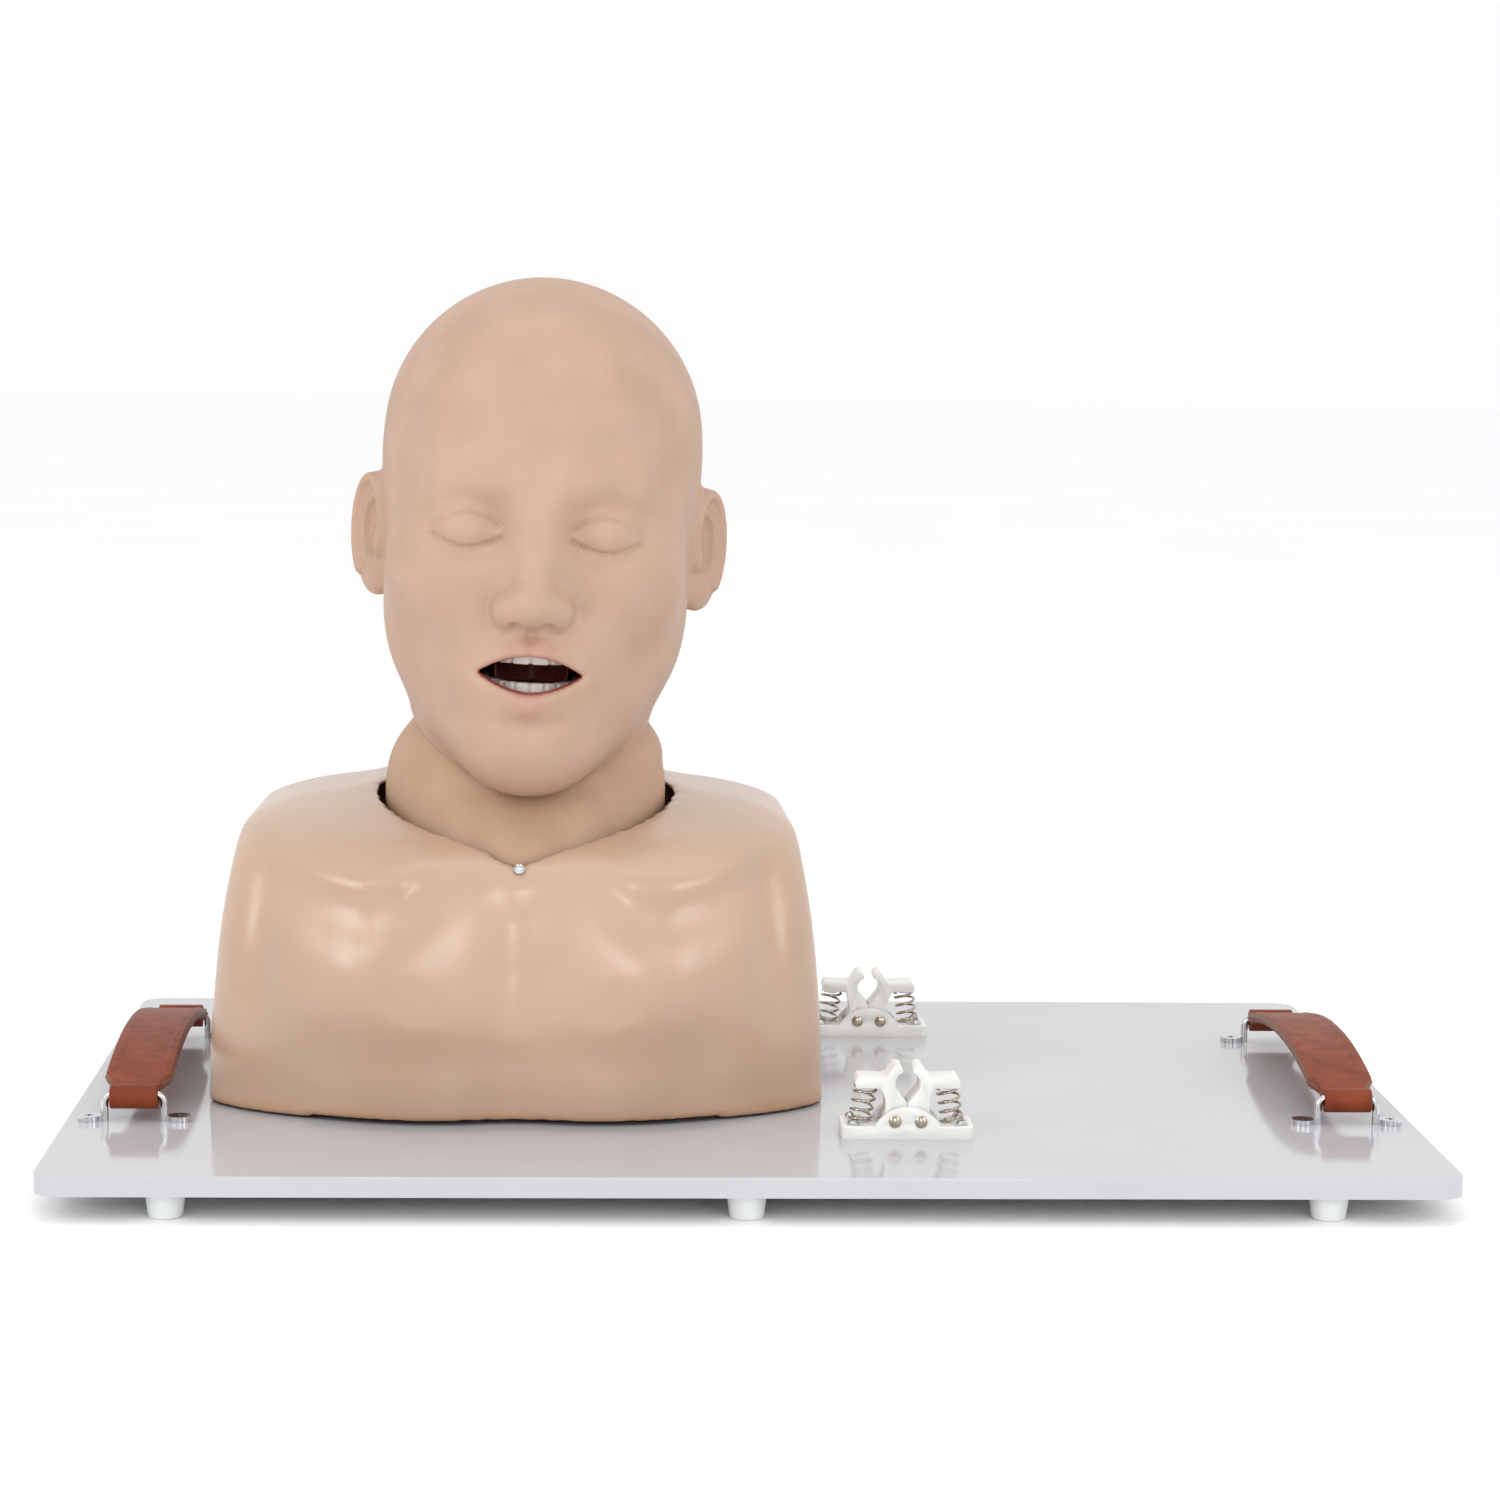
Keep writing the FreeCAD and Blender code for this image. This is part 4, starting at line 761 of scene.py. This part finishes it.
def build_neck():
    points, quads = solid_grid("neck_skin", 1.4)
    points = relax(points, quads, 3, 0.5)
    local = to_head(points)
    facing = point_normals(points, quads)
    outward = facing[:, 0] * local[:, 0] + facing[:, 1] * local[:, 1]
    # Two soft cords running down to the collar, only on the outer face
    angle = np.degrees(np.arctan2(local[:, 0], -local[:, 1]))
    cord_at = 52.0 - 26.0 * fade(points[:, 2], 200.0, 60.0)
    lift = 1.1 * bell(np.abs(angle), cord_at, 9.0) * (points[:, 2] < 182)
    points = points + facing * (lift * (outward > 0))[:, None]
    points = flare_neck(points)
    piece = smooth(paint(new_piece("neck_skin_look", points, quads), "neck"))
    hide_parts("neck_skin")
    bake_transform(piece)
    return piece


def build_chest():
    points, quads = solid_grid("chest_shell", 1.7)
    points = relax(points, quads, 4, 0.5)
    # The cut edge of the neck opening is evened out further than the rest
    even = relax(points, quads, 16, 0.5)
    dx, dy, _, opening = from_neck(points)
    near_rim = fade(np.abs(np.hypot(dx, dy) - opening), 8.0, 5.0) * (points[:, 2] > 120.0)
    points += (even - points) * near_rim[:, None]
    low, high = node_box("chest_shell")
    middle = (low[0] + high[0]) / 2
    points[:, 1] -= chest_relief(points[:, 0] - middle, points[:, 2]) * fade(points[:, 1], -12.0, 40.0)
    points = np.clip(points, low, high)
    piece = smooth(paint(new_piece("chest_shell_look", points, quads), "chest"))
    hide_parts("chest_shell")
    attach(piece, "board_and_chest")
    return piece


def chest_relief(x, z):
    """Collarbones, breast muscles, breastbone groove and armpit folds, in mm outwards."""
    side = np.abs(x)
    bone_z = np.interp(side, (14, 34, 52, 70, 88, 106, 124), (150, 144, 134, 131, 134, 142, 147))
    bone = 3.4 * bell(z, bone_z, 7.5) * ramp(side, 14.0, 20.0) * fade(side, 132.0, 22.0)
    bone *= ramp(side, 30.0, 20.0)
    hollow = -3.6 * bell(z, bone_z - 17.0, 12.0) * ramp(side, 34.0, 30.0) * fade(side, 134.0, 22.0)
    fold_x = 116.0 - 0.10 * (z - 112.0)
    fold = -6.0 * bell(side, fold_x, 9.5) * bell(z, 108.0, 34.0)
    muscle = 4.4 * bell(side, 72.0, 32.0) * bell(z, 92.0, 30.0)
    sternum = -3.4 * bell(x, 0.0, 13.0) * ramp(z, 62.0, 30.0)
    under = -2.0 * bell(z, 52.0, 14.0) * fade(side, 118.0, 40.0)
    below_collar = fade(z, 128.0 + 0.4 * side, 14.0)
    return bone + hollow + fold + (muscle + sternum) * below_collar + under


# Straps: two stitched layers on an arch that the CAD strap gives
strap_t = 5.0
strap_w = 30.0
stitch_inset = 3.4
stitch_run = 72.0
bail_y = 94.0
loop_back = 3.4
loop_height = 14.85


def strap_arch(node):
    """Centre height and radius of the strap's top arc, from its box and where it leaves the loops."""
    top = node_box(node)[1][2]
    half = bail_y - loop_back
    rise = top - (board_top + loop_height)
    radius = (half**2 + rise**2) / (2 * rise)
    return top - radius, radius


def build_strap(side):
    node = side + "_handle_strap"
    low, high = node_box(node)
    middle = (low[0] + high[0]) / 2
    points, quads = solid_grid(node, 0.6)
    points = relax(points, quads, 3, 0.5)
    facing = point_normals(points, quads)
    centre_z, radius = strap_arch(node)
    depth = radius - np.hypot(points[:, 1], points[:, 2] - centre_z)
    wall = ramp(np.abs(facing[:, 0]), 0.55, 0.3)
    seam = bell(depth, strap_t / 2, 0.55)
    on_arch = fade(np.abs(points[:, 1]), 86.0, 3.0)
    points = points - facing * (0.75 * seam * wall * on_arch)[:, None]
    # The stitch rows sit in a shallow channel pressed into the leather
    row = np.abs(np.abs(points[:, 0] - middle) - (strap_w / 2 - stitch_inset))
    flat = ramp(np.abs(facing[:, 2]), 0.6, 0.3)
    inside = fade(np.abs(points[:, 1]), stitch_run + 3.0, 2.0)
    points = points - facing * (0.28 * bell(row, 0.0, 0.9) * flat * inside)[:, None]
    piece = smooth(paint(new_piece(node + "_look", points, quads), "leather"))
    add_value(piece, "cut_edge", wall * (0.75 + 0.25 * seam) * on_arch)
    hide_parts(node)
    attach(piece, "board_and_chest")
    return piece


def stitch_tree():
    """Geometry Nodes: one flattened thread stitch at each step along a seam line."""
    tree = bpy.data.node_groups.new("seam_stitches", "GeometryNodeTree")
    face = tree.interface
    face.new_socket("Geometry", in_out="INPUT", socket_type="NodeSocketGeometry")
    for name in ("Stitch Pitch", "Stitch Length", "Thread Radius"):
        face.new_socket(name, in_out="INPUT", socket_type="NodeSocketFloat")
    face.new_socket("Thread", in_out="INPUT", socket_type="NodeSocketMaterial")
    face.new_socket("Geometry", in_out="OUTPUT", socket_type="NodeSocketGeometry")
    given = add(tree, "NodeGroupInput").outputs
    line = add(tree, "GeometryNodeMeshToCurve", {"Mesh": given["Geometry"]})
    even = add(
        tree,
        "GeometryNodeResampleCurve",
        {"Curve": line.outputs["Curve"], "Length": given["Stitch Pitch"]},
        mode="LENGTH",
    )
    tangent = add(tree, "GeometryNodeInputTangent")
    turn = add(
        tree,
        "FunctionNodeAlignRotationToVector",
        {"Vector": tangent.outputs["Tangent"]},
        axis="Z",
    )
    stitch = add(
        tree,
        "GeometryNodeMeshUVSphere",
        {"Segments": 8, "Rings": 6, "Radius": given["Thread Radius"]},
    )
    half = add(tree, "ShaderNodeMath", {0: given["Stitch Length"], 1: 2.0}, operation="DIVIDE")
    stretch = add(tree, "ShaderNodeMath", {0: half.outputs[0], 1: given["Thread Radius"]}, operation="DIVIDE")
    shape = add(tree, "ShaderNodeCombineXYZ", {"X": 1.0, "Y": 1.0, "Z": stretch.outputs[0]})
    placed = add(
        tree,
        "GeometryNodeInstanceOnPoints",
        {
            "Points": even.outputs["Curve"],
            "Instance": stitch.outputs["Mesh"],
            "Rotation": turn.outputs["Rotation"],
            "Scale": shape.outputs["Vector"],
        },
    )
    real = add(tree, "GeometryNodeRealizeInstances", {"Geometry": placed.outputs["Instances"]})
    done = add(
        tree,
        "GeometryNodeSetMaterial",
        {"Geometry": real.outputs["Geometry"], "Material": given["Thread"]},
    )
    add(tree, "NodeGroupOutput", {"Geometry": done.outputs["Geometry"]})
    return tree


def set_inputs(step, tree, **values):
    """Sets a Geometry Nodes modifier's named inputs by their identifiers."""
    for item in tree.interface.items_tree:
        key = item.name.replace(" ", "_").lower()
        if item.in_out == "INPUT" and key in values:
            step[item.identifier] = values[key]


def build_stitches(side, tree):
    node = side + "_handle_strap"
    low, high = node_box(node)
    middle = (low[0] + high[0]) / 2
    centre_z, radius = strap_arch(node)
    points = []
    edges = []
    steps = 48
    for row in (-1, 1):
        for layer in (0.1, strap_t - 0.1):
            for i in range(steps + 1):
                y = -stitch_run + 2 * stitch_run * i / steps
                z = centre_z + math.sqrt((radius - layer) ** 2 - y * y)
                points.append(((middle + row * (strap_w / 2 - stitch_inset)) * MM, y * MM, z * MM))
                if i:
                    edges.append((len(points) - 2, len(points) - 1))
    mesh = bpy.data.meshes.new(node + "_stitches")
    mesh.from_pydata(points, edges, [])
    piece = bpy.data.objects.new(node + "_stitches", mesh)
    bpy.context.scene.collection.objects.link(piece)
    step = piece.modifiers.new("stitches", "NODES")
    step.node_group = tree
    set_inputs(
        step,
        tree,
        stitch_pitch=2.6 * MM,
        stitch_length=1.9 * MM,
        thread_radius=0.38 * MM,
        thread=materials["thread"],
    )
    piece = apply_modifiers(piece)
    smooth(piece)
    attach(piece, "board_and_chest")
    return piece


def build_spring(clip, side, sign):
    """A coil with its wire rounded, leaning as the CAD spring does and cut level at both ends."""
    node = clip + "_" + side + "_spring"
    low, high = node_box(node)
    base_low, base_high = node_box(clip + "_base")
    clip_x = (base_low[0] + base_high[0]) / 2
    start = np.array([clip_x + sign * spring_foot_x, (low[1] + high[1]) / 2, low[2] + spring_wire / 2])
    end = np.array([clip_x + sign * spring_top_x, start[1], high[2] - spring_wire / 2])
    along = (end - start) / np.linalg.norm(end - start)
    across = np.cross((0.0, 1.0, 0.0), along)
    across /= np.linalg.norm(across)
    third = np.cross(along, across)
    count = 200
    sides = 10
    turns = np.linspace(0.0, 1.0, count)
    # The first and last half turns lie flat, as ground spring ends do
    flat = 0.45 / spring_turns
    rise = np.clip((turns - flat) / (1.0 - 2 * flat), 0.0, 1.0)
    angle = 2 * math.pi * spring_turns * turns
    line = start + np.outer(rise, end - start)
    line += spring_r * (np.outer(np.cos(angle), across) + np.outer(np.sin(angle), third))
    tangent = np.gradient(line, axis=0)
    tangent /= np.linalg.norm(tangent, axis=1)[:, None]
    out = np.outer(np.cos(angle), across) + np.outer(np.sin(angle), third)
    up = np.cross(tangent, out)
    ring = 2 * math.pi * np.arange(sides) / sides
    wire = spring_wire / 2
    points = (
        line[:, None, :]
        + wire * np.cos(ring)[None, :, None] * out[:, None, :]
        + wire * np.sin(ring)[None, :, None] * up[:, None, :]
    ).reshape(-1, 3)
    first = np.arange(count - 1)[:, None] * sides
    here = np.arange(sides)[None, :]
    after = (here + 1) % sides
    faces = np.stack([first + here, first + after, first + sides + after, first + sides + here], axis=2)
    faces = faces.reshape(-1, 4)
    piece = new_piece(node + "_look", points, faces)
    form = bmesh.new()
    form.from_mesh(piece.data)
    bmesh.ops.holes_fill(form, edges=[e for e in form.edges if e.is_boundary], sides=0)
    bmesh.ops.recalc_face_normals(form, faces=form.faces)
    form.to_mesh(piece.data)
    form.free()
    smooth(paint(piece, "nickel"))
    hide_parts(node)
    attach(piece, "board_and_chest")
    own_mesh(piece)
    return piece


def build_clip(clip):
    base = paint(edged_copy(clip + "_base", clip + "_base_look", 0.5), "nylon")
    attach(base, "board_and_chest")
    for side, sign in (("left", -1), ("right", 1)):
        node = clip + "_" + side + "_arm"
        arm = paint(edged_copy(node, node + "_look", 0.7), "nylon")
        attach(arm, node + "_body")
        build_spring(clip, side, sign)


def build_teeth(node, tip_z, gum_z, body):
    points, quads = solid_grid(node, 0.4)
    points = relax(points, quads, 2, 0.4)
    local = to_head(points)
    share = (local[:, 2] - tip_z) / (gum_z - tip_z)
    piece = smooth(paint(new_piece(node + "_look", points, quads), "tooth"))
    add_value(piece, "gum", ramp(share, 0.72, 0.14))
    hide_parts(node)
    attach(piece, body)
    return piece


def build_tongue():
    points, quads = solid_grid("tongue", 0.7)
    points = relax(points, quads, 4, 0.5)
    local = to_head(points)
    facing = point_normals(points, quads)
    points[:, 2] -= 1.3 * bell(local[:, 0], 0.0, 2.6) * np.clip(facing[:, 2], 0.0, 1.0)
    piece = smooth(paint(new_piece("tongue_look", points, quads), "tongue"))
    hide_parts("tongue")
    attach(piece, "jaw")
    return piece


# Wall at the back of the mouth
throat_half = 17.0
throat_y = -46.0
throat_depth = 20.0
throat_top = -51.2
throat_low = -70.0
throat_thin = 0.94
throat_reach = 0.6


def build_throat():
    """Back of the mouth's lining: a thin U-shaped wall behind the tongue, with soft upright folds."""
    rows = 16
    turns = np.radians(np.linspace(-100.0, 100.0, 81))
    inside = np.clip(turns, -math.pi / 2, math.pi / 2)
    ahead = np.degrees(np.abs(turns) - np.abs(inside)) * throat_reach
    rise = np.linspace(throat_top, throat_low, rows)
    loop = np.concatenate([rise, rise[::-1]])
    belly = 1.0 + 0.04 * np.sin(np.pi * (loop - throat_top) / (throat_low - throat_top))
    size = belly * np.where(np.arange(2 * rows) < rows, 1.0, throat_thin)
    fold = (1.0 + 0.02 * np.cos(9.0 * turns))[:, None] * size[None, :]
    x = throat_half * np.sin(inside)[:, None] * fold
    y = throat_y + throat_depth * np.cos(inside)[:, None] * fold - ahead[:, None]
    points = np.stack([x, y, np.broadcast_to(loop, x.shape)], axis=2).reshape(-1, 3)
    around = 2 * rows
    quads = []
    for i in range(len(turns) - 1):
        for j in range(around):
            k = (j + 1) % around
            quads.append((i * around + j, i * around + k, (i + 1) * around + k, (i + 1) * around + j))
    for j in range(rows - 1):
        end = (len(turns) - 1) * around
        quads.append((j, around - 1 - j, around - 2 - j, j + 1))
        quads.append((end + j, end + j + 1, end + around - 2 - j, end + around - 1 - j))
    quads = np.array(quads, dtype=np.int64)
    piece = smooth(paint(new_piece("throat_wall", to_world(points), quads), "lining"))
    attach(piece, "head")
    return piece


def build_windpipe():
    points, quads = solid_grid("trachea", 1.0)
    points = relax(points, quads, 3, 0.5)
    piece = smooth(paint(new_piece("windpipe_look", points, quads), "airway"))
    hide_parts("trachea")
    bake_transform(piece)
    return piece


def node_material(name):
    """The finish of each CAD node that shows as it is."""
    if name == "board":
        return "board"
    if name.endswith("_foot"):
        return "foot"
    if "clip" in name and name.endswith("_pin"):
        return "nickel"
    if "screw" in name or name.endswith("_bail"):
        return "chrome"
    if name == "back_panel":
        return "chest"
    if name in ("skull", "lower_jaw"):
        return "bone"
    if name == "palate":
        return "lining"
    if name == "oesophagus":
        return "airway"
    if name.endswith("_lung"):
        return "lung"
    if name == "stomach":
        return "stomach"
    return "steel"


def dress_nodes():
    for name, piece in nodes.items():
        if not piece.hide_render:
            paint(piece, node_material(name))


build_head()
build_neck()
build_chest()
stitches = stitch_tree()
for side in ("left", "right"):
    build_strap(side)
    build_stitches(side, stitches)
for clip in ("front_clip", "rear_clip"):
    build_clip(clip)
build_teeth("upper_teeth", -57.0, -49.0, "head")
build_teeth("lower_teeth", -65.5, -73.5, "jaw")
build_tongue()
build_throat()
build_windpipe()
dress_nodes()


def studio_floor():
    # Seamless pale paper: matt and even, with a trace of tooth
    material, tree, shader, place = blank_material("studio_paper", "#FEFEFE", 0.9, IOR=1.3)
    tree.links.new(mottle(tree, place, 300, ("#FDFDFD", "#FFFFFF")), shader.inputs["Base Color"])
    mesh = bpy.data.meshes.new("studio_floor")
    reach = 14.0
    corners = [(-reach, -reach, 0.0), (reach, -reach, 0.0), (reach, reach, 0.0), (-reach, reach, 0.0)]
    mesh.from_pydata(corners, [], [(0, 1, 2, 3)])
    floor = bpy.data.objects.new("studio_floor", mesh)
    bpy.context.scene.collection.objects.link(floor)
    floor.data.materials.append(material)


def soft_light(name, place, aim, size, power):
    lamp = bpy.data.lights.new(name, "AREA")
    lamp.shape = "RECTANGLE"
    lamp.size, lamp.size_y = size
    lamp.energy = power
    light = bpy.data.objects.new(name, lamp)
    light.location = place
    light.rotation_euler = (Vector(aim) - Vector(place)).to_track_quat("-Z", "Y").to_euler()
    bpy.context.scene.collection.objects.link(light)


def studio_lights():
    world = bpy.data.worlds.new("studio")
    bpy.context.scene.world = world
    world.use_nodes = True
    world.node_tree.nodes["Background"].inputs["Color"].default_value = linear("#FFFFFF")
    world.node_tree.nodes["Background"].inputs["Strength"].default_value = 0.98
    bpy.context.scene.view_settings.view_transform = "Standard"
    # All four are white and aim at the neck
    middle = (-0.08, 0.0, 0.2)
    soft_light("left_softbox", (-1.5, -1.2, 1.1), middle, (0.4, 1.2), 9.0)
    soft_light("right_softbox", (1.4, -1.3, 1.0), middle, (0.35, 1.2), 6.0)
    soft_light("front_softbox", (0.1, -1.9, 0.75), middle, (0.5, 0.5), 4.0)
    soft_light("top_softbox", (0.0, -0.1, 2.0), middle, (1.6, 1.2), 5.0)


def camera():
    # Camera of the photograph: nearly level, about 1.7 m in front
    place = np.array([-73.8, -1703.4, 390.6])
    yaw, pitch, roll = (math.radians(a) for a in (2.624, 6.978, 0.761))
    ahead = Vector((math.sin(yaw) * math.cos(pitch), math.cos(yaw) * math.cos(pitch), -math.sin(pitch)))
    level = Vector((math.cos(yaw), -math.sin(yaw), 0.0))
    upward = level.cross(ahead)
    right = level * math.cos(roll) + upward * math.sin(roll)
    top = upward * math.cos(roll) - level * math.sin(roll)
    lens = bpy.data.cameras.new("photo_camera")
    lens.sensor_width = 36.0
    lens.lens = 85.92
    view = bpy.data.objects.new("photo_camera", lens)
    turn = Matrix((right, top, -ahead)).transposed().to_4x4()
    view.matrix_world = Matrix.Translation(Vector(place * MM)) @ turn
    bpy.context.scene.collection.objects.link(view)
    bpy.context.scene.camera = view


studio_floor()
studio_lights()
camera()
